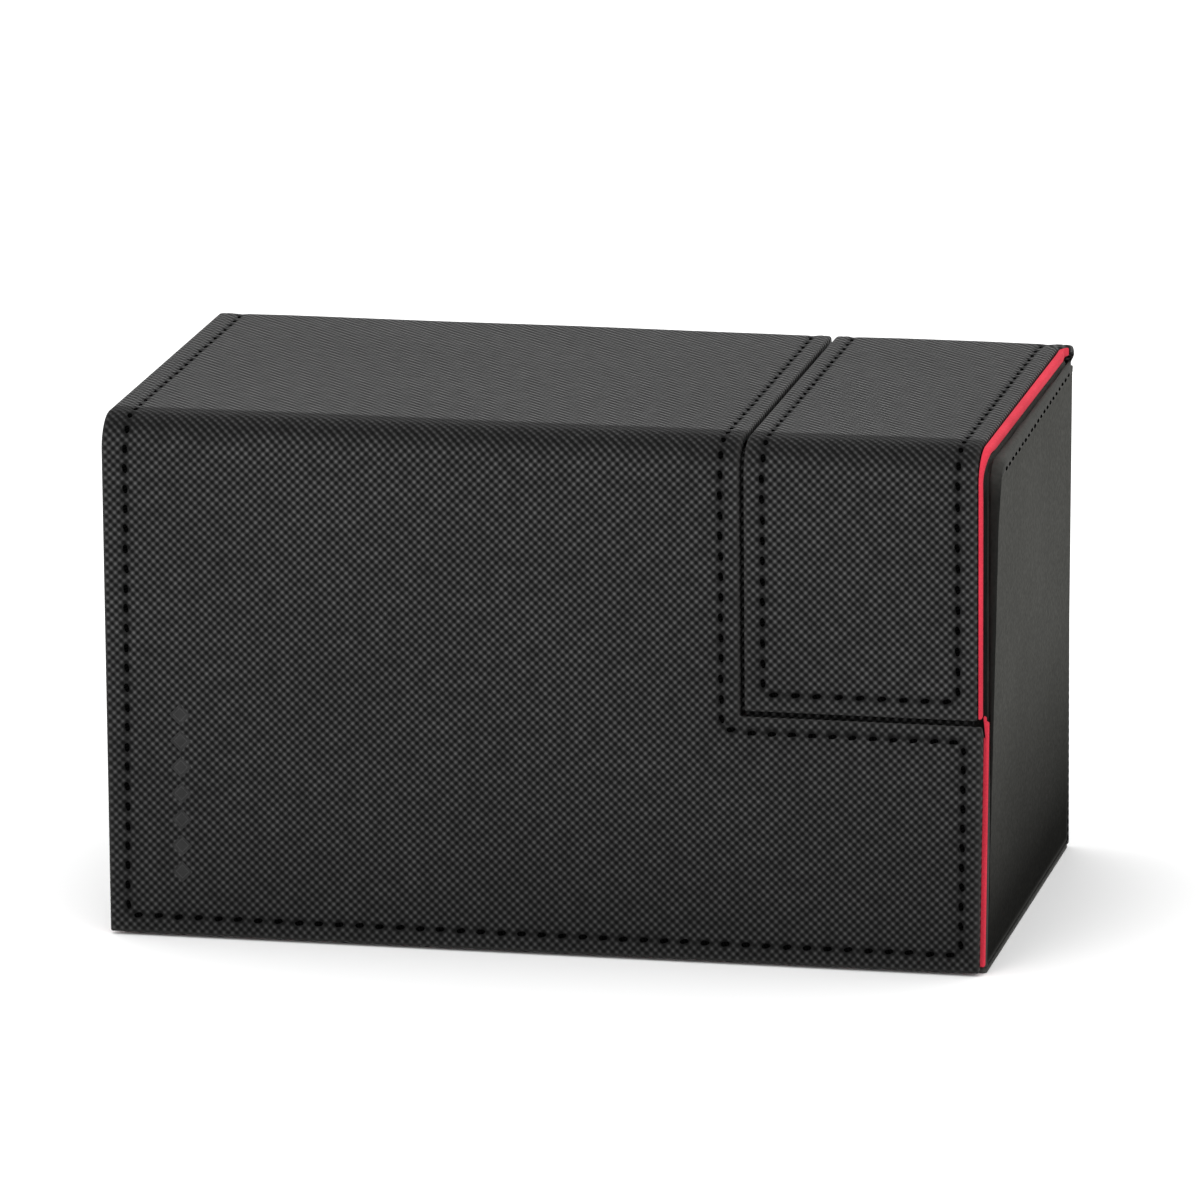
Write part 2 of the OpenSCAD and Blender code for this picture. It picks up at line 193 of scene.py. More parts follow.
class Shader:
    """A material in the making. Each method adds a node and returns its output."""

    def __init__(self, name, **constants):
        self.material = bpy.data.materials.new(name)
        self.material.use_nodes = True
        self.tree = self.material.node_tree
        self.surface = self.tree.nodes["Principled BSDF"]
        for socket, value in constants.items():
            self.surface.inputs[socket.replace("_", " ")].default_value = value

    def feed(self, socket, value):
        if isinstance(value, bpy.types.NodeSocket):
            self.tree.links.new(value, socket)
        elif value is not None:
            socket.default_value = value

    def node(self, kind, *inputs, out=0, named=(), **settings):
        made = self.tree.nodes.new("ShaderNode" + kind)
        for key, value in settings.items():
            setattr(made, key, value)
        for socket, value in zip(made.inputs, inputs):
            self.feed(socket, value)
        for key, value in dict(named).items():
            self.feed(made.inputs[key], value)
        return made.outputs[out]

    def math(self, operation, a, b=None, c=None):
        return self.node("Math", a, b, c, operation=operation)

    def split(self, vector):
        """The x and y of a vector."""
        made = self.tree.nodes.new("ShaderNodeSeparateXYZ")
        self.feed(made.inputs[0], vector)
        return made.outputs[0], made.outputs[1]

    def attribute(self, name, out):
        return self.node("Attribute", out=out, attribute_name=name)

    def noise(self, place, scale, detail=2.0, roughness=0.5):
        named = {"Vector": place, "Scale": scale, "Detail": detail, "Roughness": roughness}
        return self.node("TexNoise", named=named)

    def ramp(self, factor, *stops):
        """Colour ramp through the stops (position, grey or colour)."""
        made = self.tree.nodes.new("ShaderNodeValToRGB")
        elements = made.color_ramp.elements
        while len(elements) < len(stops):
            elements.new(0.5)
        for element, (position, value) in zip(elements, stops):
            element.position = position
            element.color = (*value, 1) if hasattr(value, "__len__") else (value, value, value, 1)
        self.feed(made.inputs[0], factor)
        return made.outputs[0]

    def mix(self, factor, a, b, blend="MIX"):
        made = self.tree.nodes.new("ShaderNodeMix")
        made.data_type = "RGBA"
        made.blend_type = blend
        self.feed(made.inputs["Factor"], factor)
        self.feed(made.inputs[6], a)
        self.feed(made.inputs[7], b)
        return made.outputs[2]

    def stretched(self, place, factors):
        return self.node("VectorMath", place, factors, operation="MULTIPLY")

    def bump(self, height, depth, after=None):
        named = {"Height": height, "Distance": depth, "Strength": 1.0, "Normal": after}
        return self.node("Bump", named=named)

    def done(self, **sockets):
        for name, value in sockets.items():
            self.feed(self.surface.inputs[name.replace("_", " ")], value)
        return self.material


def warped(shader, place, scale, distance):
    """place, pushed about by up to distance."""
    push = shader.node("VectorMath", shader.node("TexNoise", out=1, named={"Vector": place, "Scale": scale}),
                       (0.5, 0.5, 0.5), operation="SUBTRACT")
    return shader.node("VectorMath", push, (distance, distance, 0), place, operation="MULTIPLY_ADD")


def lozenge_mask(s, flat_x, flat_y):
    """1 inside the pressed ornament, and the height of its fine outline."""
    v_first = (ORNAMENT_Z - HEM - (ORNAMENT_COUNT - 1) / 2 * ORNAMENT_PITCH) * MM
    x = s.math("ABSOLUTE", s.math("SUBTRACT", flat_x, ORNAMENT_X * MM))
    index = s.math("ROUND", s.math("DIVIDE", s.math("SUBTRACT", flat_y, v_first), ORNAMENT_PITCH * MM))
    index = s.math("MINIMUM", s.math("MAXIMUM", index, 0.0), float(ORNAMENT_COUNT - 1))
    centre = s.math("MULTIPLY_ADD", index, ORNAMENT_PITCH * MM, v_first)
    y = s.math("ABSOLUTE", s.math("SUBTRACT", flat_y, centre))
    across = s.math("DIVIDE", x, ORNAMENT_W / 2 * MM)
    reach = s.math("MULTIPLY_ADD", y, 1 / (ORNAMENT_H / 2 * MM), across)
    inside = s.ramp(reach, (0.94, 1.0), (1.06, 0.0))
    outline = s.ramp(reach, (0.5, 0.0), (0.6, 1.0), (0.7, 0.0))
    return inside, outline


WEAVE = 1.68 * MM
# where the fold's diagonal and its painted shade end, 4 mm onto the top
FOLD_END = V_TOP + 4.0


def embossed(name, ornament=False):
    """Black leathercloth pressed with a fine lattice of raised dots, a little stronger along one diagonal.
    Over the front fold that diagonal takes over and the cloth shows less gloss, and painted shade darkens it
    there.
    The colour also holds painted shade in the pits, in the pressed seams and towards a sheet's foot, painted
    light from high on the front over the top, and edges lightened where the cloth rubs and as painted
    highlight."""
    s = Shader(name, IOR=1.46, Specular_IOR_Level=0.12)
    flat = s.attribute("flat", 1)
    x, y = s.split(warped(s, flat, 90.0, 0.00035))
    turn = 2 * math.pi / WEAVE
    falling = s.math("COSINE", s.math("MULTIPLY", s.math("ADD", x, y), turn))
    rising = s.math("COSINE", s.math("MULTIPLY", s.math("SUBTRACT", x, y), turn))
    reach = s.math("DIVIDE", s.split(flat)[1], FOLD_END * MM)
    fold_from, fold_full = (V_FOLD + 1.5) / FOLD_END, (V_FOLD + 5.5) / FOLD_END
    folded = s.ramp(reach, (fold_from, 0.0), (fold_full, 1.0), (0.985, 1.0), (1.0, 0.0))
    tilt = s.math("MULTIPLY_ADD", folded, 0.11, 0.01)
    lattice = s.math("MULTIPLY_ADD", falling, s.math("ADD", 0.25, tilt),
                     s.math("MULTIPLY_ADD", rising, s.math("SUBTRACT", 0.25, tilt), 0.5))
    # Where a seam presses the cloth flat its dots go, and its colour falls to the pits' near black: painted
    # shade of the stitch holes.
    pressed = s.attribute("pressed", 2)
    dots = s.math("MULTIPLY", lattice, s.math("SUBTRACT", 1.0, pressed))
    if ornament:
        inside, outline = lozenge_mask(s, x, y)
        smooth = s.math("MULTIPLY_ADD", outline, 0.2, 0.64)
        dots = s.math("MULTIPLY", dots, s.math("SUBTRACT", 1.0, inside))
        dots = s.math("ADD", dots, s.math("MULTIPLY", inside, smooth))
    grain = s.noise(flat, 2600.0, 3.0, 0.6)
    patches = s.noise(flat, 330.0, 2.0, 0.5)
    clouds = s.noise(flat, 28.0, 2.0, 0.5)
    # Painted shade and highlight: the pits between the dots near black, the raised dots lighter.
    shade = s.ramp(dots, (0.0, 0.0008), (0.25, 0.003), (0.5, 0.013), (0.75, 0.032), (1.0, 0.062))
    patchy = s.math("MULTIPLY_ADD", patches, 1.1, 0.45)
    uneven = s.math("MULTIPLY", patchy, s.math("MULTIPLY_ADD", clouds, 0.5, 0.75))
    colour = s.mix(1.0, shade, uneven, "MULTIPLY")
    # Painted shade and light: darker towards a sheet's foot, a little lighter from high on the front over the
    # fold and top, and darker by up to half over the fold.
    foot = s.ramp(reach, (0.0, 0.66), (0.33, 0.95), (0.8, 1.12))
    painted_shading = s.math("MULTIPLY", foot, s.math("MULTIPLY_ADD", folded, -0.5, 1.0))
    colour = s.mix(1.0, colour, painted_shading, "MULTIPLY")
    # Edges lightened where the cloth rubs, and as painted highlight.
    worn_and_highlit = s.mix(s.math("MULTIPLY", s.attribute("wear_and_highlight", 2), 0.3), colour, (0.035, 0.034, 0.033, 1))
    rough = s.math("SUBTRACT", 0.8, s.math("MULTIPLY", dots, s.math("MULTIPLY_ADD", folded, -0.45, 0.38)))
    normal = s.bump(dots, 0.00022, s.bump(grain, 0.00003))
    return s.done(Base_Color=worn_and_highlit, Roughness=rough, Normal=normal)


def grained(name, dark, light, foot=None, painted_shade_stops=(), gloss=0.03):
    """Plain black leathercloth with a fine pebble grain, its edges lightened where the cloth rubs and as
    painted highlight. With foot, its colour holds painted shade, darkest at the floor and lightening up to
    foot mm through the given stops."""
    s = Shader(name, IOR=1.46, Specular_IOR_Level=gloss)
    flat = s.attribute("flat", 1)
    pebbles = {"Vector": warped(s, flat, 500.0, 0.0004), "Scale": 1500.0}
    cells = s.node("TexVoronoi", named=pebbles, feature="SMOOTH_F1")
    fine = s.noise(flat, 3500.0, 2.0)
    clouds = s.noise(flat, 22.0, 3.0)
    mixed = s.math("MULTIPLY_ADD", cells, 0.7, s.math("MULTIPLY", clouds, 0.5))
    colour = s.ramp(mixed, (0.2, (dark, dark, dark * 0.93)), (0.85, (light, light, light * 0.93)))
    # Painted shade towards the floor.
    if foot:
        height = s.math("DIVIDE", s.split(flat)[1], foot * MM)
        colour = s.mix(1.0, colour, s.ramp(height, *painted_shade_stops), "MULTIPLY")
    # Edges lightened where the cloth rubs, and as painted highlight.
    worn_and_highlit = s.mix(s.math("MULTIPLY", s.attribute("wear_and_highlight", 2), 0.5), colour, (0.09, 0.09, 0.085, 1))
    normal = s.bump(fine, 0.00002, s.bump(cells, 0.00005))
    return s.done(Base_Color=worn_and_highlit, Roughness=s.math("MULTIPLY_ADD", fine, 0.12, 0.7), Normal=normal)


def suede(name):
    """Red suede cloth: a short nap, brushed unevenly."""
    s = Shader(name, Sheen_Weight=0.08, Sheen_Roughness=0.4, Specular_IOR_Level=0.05)
    s.surface.inputs["Sheen Tint"].default_value = (1.0, 0.4, 0.45, 1)
    flat = s.attribute("flat", 1)
    nap = s.noise(flat, 2400.0, 3.0, 0.7)
    brushed = s.noise(warped(s, flat, 30.0, 0.02), 45.0, 3.0, 0.6)
    tone = s.math("MULTIPLY_ADD", nap, 0.45, s.math("MULTIPLY", brushed, 0.55))
    deep, middle, bright = (0.36, 0.02, 0.035), (0.56, 0.034, 0.058), (0.72, 0.055, 0.085)
    colour = s.ramp(tone, (0.25, deep), (0.55, middle), (0.8, bright))
    return s.done(Base_Color=colour, Roughness=0.9, Normal=s.bump(nap, 0.00009))


def thread_stuff(name):
    """Black sewing thread, twisted from plies."""
    s = Shader(name, Specular_IOR_Level=0.0)
    flat = s.attribute("flat", 1)
    x, y = s.split(flat)
    phase = s.math("MULTIPLY_ADD", x, 2 * math.pi / (0.55 * MM), y)
    ply = s.math("MULTIPLY_ADD", s.math("SINE", phase), 0.5, 0.5)
    fuzz = s.noise(flat, 3000.0)
    colour = s.ramp(s.math("MULTIPLY", ply, fuzz), (0.0, 0.0004), (0.7, 0.0025))
    return s.done(Base_Color=colour, Roughness=0.8, Normal=s.bump(ply, 0.00008))


def fibreboard(name):
    """Black bookbinding board with fibres."""
    s = Shader(name, Specular_IOR_Level=0.2)
    place = s.node("TexCoord", out=3)
    fibres = s.noise(s.stretched(place, (900.0, 900.0, 160.0)), 1.0, 4.0, 0.7)
    specks = s.noise(place, 2500.0, 1.0)
    tone = s.math("MULTIPLY_ADD", fibres, 0.7, s.math("MULTIPLY", specks, 0.3))
    colour = s.ramp(tone, (0.25, (0.011, 0.011, 0.01)), (0.75, (0.03, 0.029, 0.027)))
    return s.done(Base_Color=colour, Roughness=0.92, Normal=s.bump(tone, 0.0001))


def nickel(name):
    """Nickel-plated magnet with fine scratches."""
    s = Shader(name, Metallic=1.0)
    place = s.node("TexCoord", out=3)
    scratches = s.noise(s.stretched(place, (5000.0, 5000.0, 300.0)), 1.0, 2.0)
    colour = s.ramp(scratches, (0.3, (0.52, 0.51, 0.49)), (0.7, (0.66, 0.65, 0.63)))
    return s.done(Base_Color=colour, Roughness=s.math("MULTIPLY_ADD", scratches, 0.15, 0.22),
                  Normal=s.bump(scratches, 0.00001))


# Painted shade: the side walls' cloth darkens from its top towards the floor.
WALL_PAINTED_SHADE = ((0.0, 0.16), (0.11, 0.2), (0.29, 0.46), (0.71, 0.92), (1.0, 1.0))
# Painted shade along the rim binding: dark down its front edge, lighter from just under the rim.
BINDING_PAINTED_SHADE = ((0.0, 0.15), (0.88, 0.22), (1.0, 1.0))

# a material and its slot name
Finish = namedtuple("Finish", "material slot")
WOVEN = Finish(embossed("embossed_leathercloth"), "embossed_leathercloth")
WOVEN_FRONT = Finish(embossed("embossed_leathercloth_ornament", ornament=True), "embossed_leathercloth")
PLAIN = Finish(grained("plain_leathercloth", 0.02, 0.04), "plain_leathercloth")
# The walls' copy has no gloss: its lighter tone is a painted reflection, and painted shade darkens it towards
# the floor.
PLAIN_WALL_PAINTED_SHADING = Finish(grained("plain_leathercloth_wall_painted_shading", 0.045, 0.075, 70.0, WALL_PAINTED_SHADE, gloss=0.0),
                    "plain_leathercloth")
# The binding's copy has painted shade down its front edge, lifting near the rim.
PLAIN_BINDING_PAINTED_SHADE = Finish(grained("plain_leathercloth_binding_painted_shade", 0.04, 0.06, 104.0, BINDING_PAINTED_SHADE),
                       "plain_leathercloth")
SUEDE = Finish(suede("suede"), "suede")
THREAD = Finish(thread_stuff("thread"), "thread")
BOARD = Finish(fibreboard("board"), "board")
NICKEL = nickel("nickel")

# ---- meshes ----


def linked(name, data):
    """A new object in the scene."""
    made = bpy.data.objects.new(name, data)
    bpy.context.scene.collection.objects.link(made)
    return made


def build(name, points, faces, values, finish, sharp=38):
    """A smooth-shaded mesh object from points in mm. values are its point attributes: flat, the developed
    coordinates in mm, and one number each for the edges, which the colour lightens where the cloth rubs and
    as painted highlight, and for how far the cloth is pressed in, where the embossed colour darkens as
    painted shade."""
    mesh = bpy.data.meshes.new(name)
    mesh.from_pydata((np.asarray(points) * MM).tolist(), [], faces)
    for key, value in values.items():
        vector = key == "flat"
        made = mesh.attributes.new(key, "FLOAT_VECTOR" if vector else "FLOAT", "POINT")
        numbers = np.asarray(value) * (MM if vector else 1)
        made.data.foreach_set("vector" if vector else "value", numbers.astype(np.float32).ravel())
    mesh.materials.append(finish.material)
    mesh.shade_smooth()
    mesh.set_sharp_from_angle(angle=math.radians(sharp))
    mesh.update()
    piece = linked(name, mesh)
    return piece


def closed_sheet(name, us, vs, place, outer, inner, distance, finish, keep=None, wrap=False, pressed=None):
    """A closed layer over the grid us x vs, or over those of its cells that keep(u, v) chooses.
    place(u, v, depth) gives its points, outer(u, v) and inner(u, v) the depths of its two faces (inner may be
    one number), and distance(u, v) how far in from the edge a point is. wrap joins the grid's two u ends."""
    u_grid, v_grid = np.meshgrid(us, vs, indexing="ij")
    middle_u, middle_v = np.meshgrid((us[1:] + us[:-1]) / 2, (vs[1:] + vs[:-1]) / 2, indexing="ij")
    cells = keep(middle_u, middle_v) if keep else np.ones(middle_u.shape, bool)
    used = np.zeros(u_grid.shape, bool)
    for du in (0, 1):
        for dv in (0, 1):
            used[du:used.shape[0] - 1 + du, dv:used.shape[1] - 1 + dv] |= cells
    if wrap:
        used[-1] = False
    number = np.full(u_grid.shape, -1)
    count = int(used.sum())
    number[used] = np.arange(count)
    if wrap:
        number[-1] = number[0]
    u, v = u_grid[used], v_grid[used]
    inside = inner(u, v) if callable(inner) else np.full_like(u, inner)
    points = np.concatenate([place(u, v, outer(u, v)), place(u, v, inside)])
    i, j = np.nonzero(cells)
    corner = [number[i, j], number[i + 1, j], number[i + 1, j + 1], number[i, j + 1]]
    faces = [np.stack(corner, 1), np.stack(corner[::-1], 1) + count]
    padded = np.zeros((cells.shape[0] + 2, cells.shape[1] + 2), bool)
    padded[1:-1, 1:-1] = cells
    if wrap:
        padded[0, 1:-1], padded[-1, 1:-1] = cells[-1], cells[0]
    for side, (di, dj) in enumerate(((0, -1), (1, 0), (0, 1), (-1, 0))):
        bare = ~padded[i + 1 + di, j + 1 + dj]
        a, b = corner[side][bare], corner[(side + 1) % 4][bare]
        faces.append(np.stack([b, a, a + count, b + count], 1))
    flat = np.stack([u, v, np.zeros_like(u)], 1)
    # how near the edge a point is, which the colour lightens where the cloth rubs and as painted highlight
    wear_and_highlight = gauss(distance(u, v), 0.7)
    dent = pressed(u, v) if pressed else 0 * wear_and_highlight
    values = {"flat": np.concatenate([flat, flat]), "wear_and_highlight": np.concatenate([wear_and_highlight, 0 * wear_and_highlight]),
              "pressed": np.concatenate([dent, 0 * dent])}
    return build(name, points, np.concatenate(faces).tolist(), values, finish)


STITCH_RINGS, STITCH_SIDES = 9, 8
STITCH_SHIFT, STITCH_TURN = 0.13, 0.14


def stitch_mesh(name, seams, place, groove, length, slant=0.0, thread=1.0, lift=0.02, chosen=None):
    """A stitch at every pitch along each seam ((u0, v0), (u1, v1)), a little uneven: a short rounded thread
    whose ends dive in. groove(u, v) is the depth of the channel's bottom. chosen(u, v) tells which stitches
    belong to this piece."""
    centres, ways = [], []
    for start, end in seams:
        a, b = np.array(start, float), np.array(end, float)
        run = np.linalg.norm(b - a)
        count = max(1, round(run / STITCH_PITCH))
        centres += [a + (b - a) * (k + 0.5) / count for k in range(count)]
        ways += [(b - a) / run] * count
    chance = np.random.default_rng(len(centres))
    centres = np.array(centres)
    centres = centres + chance.uniform(-STITCH_SHIFT, STITCH_SHIFT, centres.shape)
    turns = slant + chance.uniform(-STITCH_TURN, STITCH_TURN, len(ways))
    x, y = np.array(ways).T
    ways = np.stack([x * np.cos(turns) - y * np.sin(turns), x * np.sin(turns) + y * np.cos(turns)], 1)
    if chosen is not None:
        inside = chosen(centres[:, 0], centres[:, 1])
        centres, ways = centres[inside], ways[inside]
    n = len(centres)
    t = np.linspace(-1, 1, STITCH_RINGS)
    along = centres[:, None, :] + ways[:, None, :] * t[None, :, None] * length / 2
    u, v = along[..., 0].ravel(), along[..., 1].ravel()
    floor = np.repeat(groove(centres[:, 0], centres[:, 1]), STITCH_RINGS)
    rise = np.tile(lift - 0.5 * t**4, n)
    middle = place(u, v, floor - rise).reshape(n, STITCH_RINGS, 3)
    above = place(u, v, floor - rise - 0.5).reshape(n, STITCH_RINGS, 3)
    up = above - middle
    up /= np.linalg.norm(up, axis=2, keepdims=True)
    forward = np.gradient(middle, axis=1)
    side = np.cross(forward, up)
    side /= np.linalg.norm(side, axis=2, keepdims=True)
    radius = thread / 2 * np.sqrt(1 - (0.93 * t) ** 4)
    angle = np.arange(STITCH_SIDES) * 2 * math.pi / STITCH_SIDES
    ring = (side[:, :, None, :] * np.cos(angle)[None, None, :, None]
            + 0.8 * up[:, :, None, :] * np.sin(angle)[None, None, :, None])
    points = middle[:, :, None, :] + ring * radius[None, :, None, None]
    block = STITCH_RINGS * STITCH_SIDES
    faces = []
    for first in range(0, block - STITCH_SIDES, STITCH_SIDES):
        for k in range(STITCH_SIDES):
            a, b = first + k, first + (k + 1) % STITCH_SIDES
            faces.append([a, b, b + STITCH_SIDES, a + STITCH_SIDES])
    faces += [list(range(STITCH_SIDES))[::-1], list(range(block - STITCH_SIDES, block))]
    all_faces = [[s * block + k for k in face] for s in range(n) for face in faces]
    flat = np.zeros((n, STITCH_RINGS, STITCH_SIDES, 3))
    flat[..., 0] = (t * length / 2)[None, :, None] + np.arange(n)[:, None, None] * STITCH_PITCH
    flat[..., 1] = angle[None, None, :] / MM
    return build(name, points.reshape(-1, 3), all_faces, {"flat": flat.reshape(-1, 3)}, THREAD, sharp=80)


def seam_channel(u, v, seams, deep=0.42, shallow=0.08, width=0.62):
    """Depth of the pressed channels: deep under each stitch, shallow between stitches."""
    total = np.zeros_like(u)
    for (u0, v0), (u1, v1) in seams:
        du, dv = u1 - u0, v1 - v0
        run = math.hypot(du, dv)
        count = max(1, round(run / STITCH_PITCH))
        t = np.clip(((u - u0) * du + (v - v0) * dv) / run**2, 0, 1)
        away = np.hypot(u - u0 - t * du, v - v0 - t * dv)
        beat = (0.5 - 0.5 * np.cos(2 * math.pi * t * count)) ** 1.5
        total = np.maximum(total, (shallow + (deep - shallow) * beat) * gauss(away, width))
    return total


def seam_press(u, v, seams):
    """How far the cloth is pressed flat at the seams: 1 under a stitch, little between stitches. The embossed
    cloth's colour goes near black with it, as painted shade of the stitch holes.
    """
    wide = np.clip(seam_channel(u, v, seams, 1.15, 0.15, 0.6), 0, 1)
    slim = np.clip(seam_channel(u, v, seams, 1.0, 0.2, 0.5), 0, 1)
    return np.where(v > V_TOP, slim, wide)


# ---- lids ----


def profile(v):
    """Place (y, z) of the lids' outer face at v, and its outward direction (ny, nz)."""
    front = np.clip(v, None, V_FOLD)
    a = np.clip(v - V_FOLD, 0, V_TOP - V_FOLD) / FOLD_R
    along = np.clip(v - V_TOP, 0, V_HINGE - V_TOP)
    b = np.clip(v - V_HINGE, 0, V_BACK - V_HINGE) / HINGE_R
    down = np.clip(v - V_BACK, 0, None)
    y = FRONT + FOLD_R * (1 - np.cos(a)) + along + HINGE_R * np.sin(b)
    z = HEM + front + FOLD_R * np.sin(a) - HINGE_R * (1 - np.cos(b)) - down
    over = v > V_TOP
    ny = np.where(over, np.sin(b), -np.cos(a))
    nz = np.where(over, np.cos(b), np.sin(a))
    return y, z, ny, nz


class Outline:
    """Cut of a sheet in (u, v): a rectangle, with an arm at its right foot if arm is (right edge, top).
    open_top and open_foot tell which ends run on into another sheet."""

    def __init__(self, u0, u1, v0, v1, arm=None, open_top=True, open_foot=False, corner=0.45):
        self.u0, self.u1, self.v0, self.v1 = u0, u1, v0, v1
        self.arm, self.open_top, self.open_foot, self.corner = arm, open_top, open_foot, corner

    def keep(self, u, v):
        inside = (u < self.u1) & (v < self.v1)
        if self.arm:
            inside |= (u < self.arm[0]) & (v < self.arm[1])
        return inside

    def distance(self, u, v):
        d = u - self.u0
        if not self.open_foot:
            d = np.minimum(d, v - self.v0)
        if not self.open_top:
            d = np.minimum(d, self.v1 - v)
        if self.arm:
            right, top = self.u1 - u, self.arm[1] - v
            notch = np.where((right > 0) & (top > 0), np.hypot(right, top), np.maximum(right, top))
            d = np.minimum(np.minimum(d, notch), self.arm[0] - u)
        else:
            d = np.minimum(d, self.u1 - u)
        return np.maximum(d, 0)

    def corners(self):
        right = self.arm[0] if self.arm else self.u1
        found = [] if self.open_foot else [(self.u0, self.v0, 1, 1), (right, self.v0, -1, 1)]
        if self.arm:
            found.append((self.arm[0], self.arm[1], -1, -1))
        if not self.open_top:
            found += [(self.u0, self.v1, 1, -1), (self.u1, self.v1, -1, -1)]
        return found

    def rounded(self, u, v):
        """(u, v) with the corners of the cut rounded."""
        u, v, r = u.copy(), v.copy(), self.corner
        for cu, cv, su, sv in self.corners():
            du, dv = (u - cu) * su, (v - cv) * sv
            near = (du < r - 1e-6) & (dv < r - 1e-6)
            low, high = np.minimum(du, dv)[near], np.maximum(du, dv)[near]
            a = math.pi / 4 * (r - high) / np.maximum(r - low, 1e-9)
            x, y = r - (r - low) * np.cos(a), r - (r - low) * np.sin(a)
            flip = du[near] > dv[near]
            u[near] = cu + su * np.where(flip, y, x)
            v[near] = cv + sv * np.where(flip, x, y)
        return u, v


def skin_depth(outline, seams, u, v):
    """Depth of a sewn skin's outer face: turned edges, a slight welt outside the seam, the seams and a soft
    crown. On the lids' tops a crease runs along the turned edge."""
    d = outline.distance(u, v)
    welt = 0.1 * np.sin(math.pi * np.clip(d / SEAM_IN, 0, 1)) ** 2
    crease = 0.07 * gauss(d - 1.5, 0.28) * ramp(v, V_FOLD, V_TOP)
    crown = 0.07 * ramp(d, SEAM_IN, SEAM_IN + 12) + 0.09 * waves(u, v, 55.0) * ramp(d, 0, 6)
    return rolled(d, EDGE_R) + seam_channel(u, v, seams) + crease - welt - crown


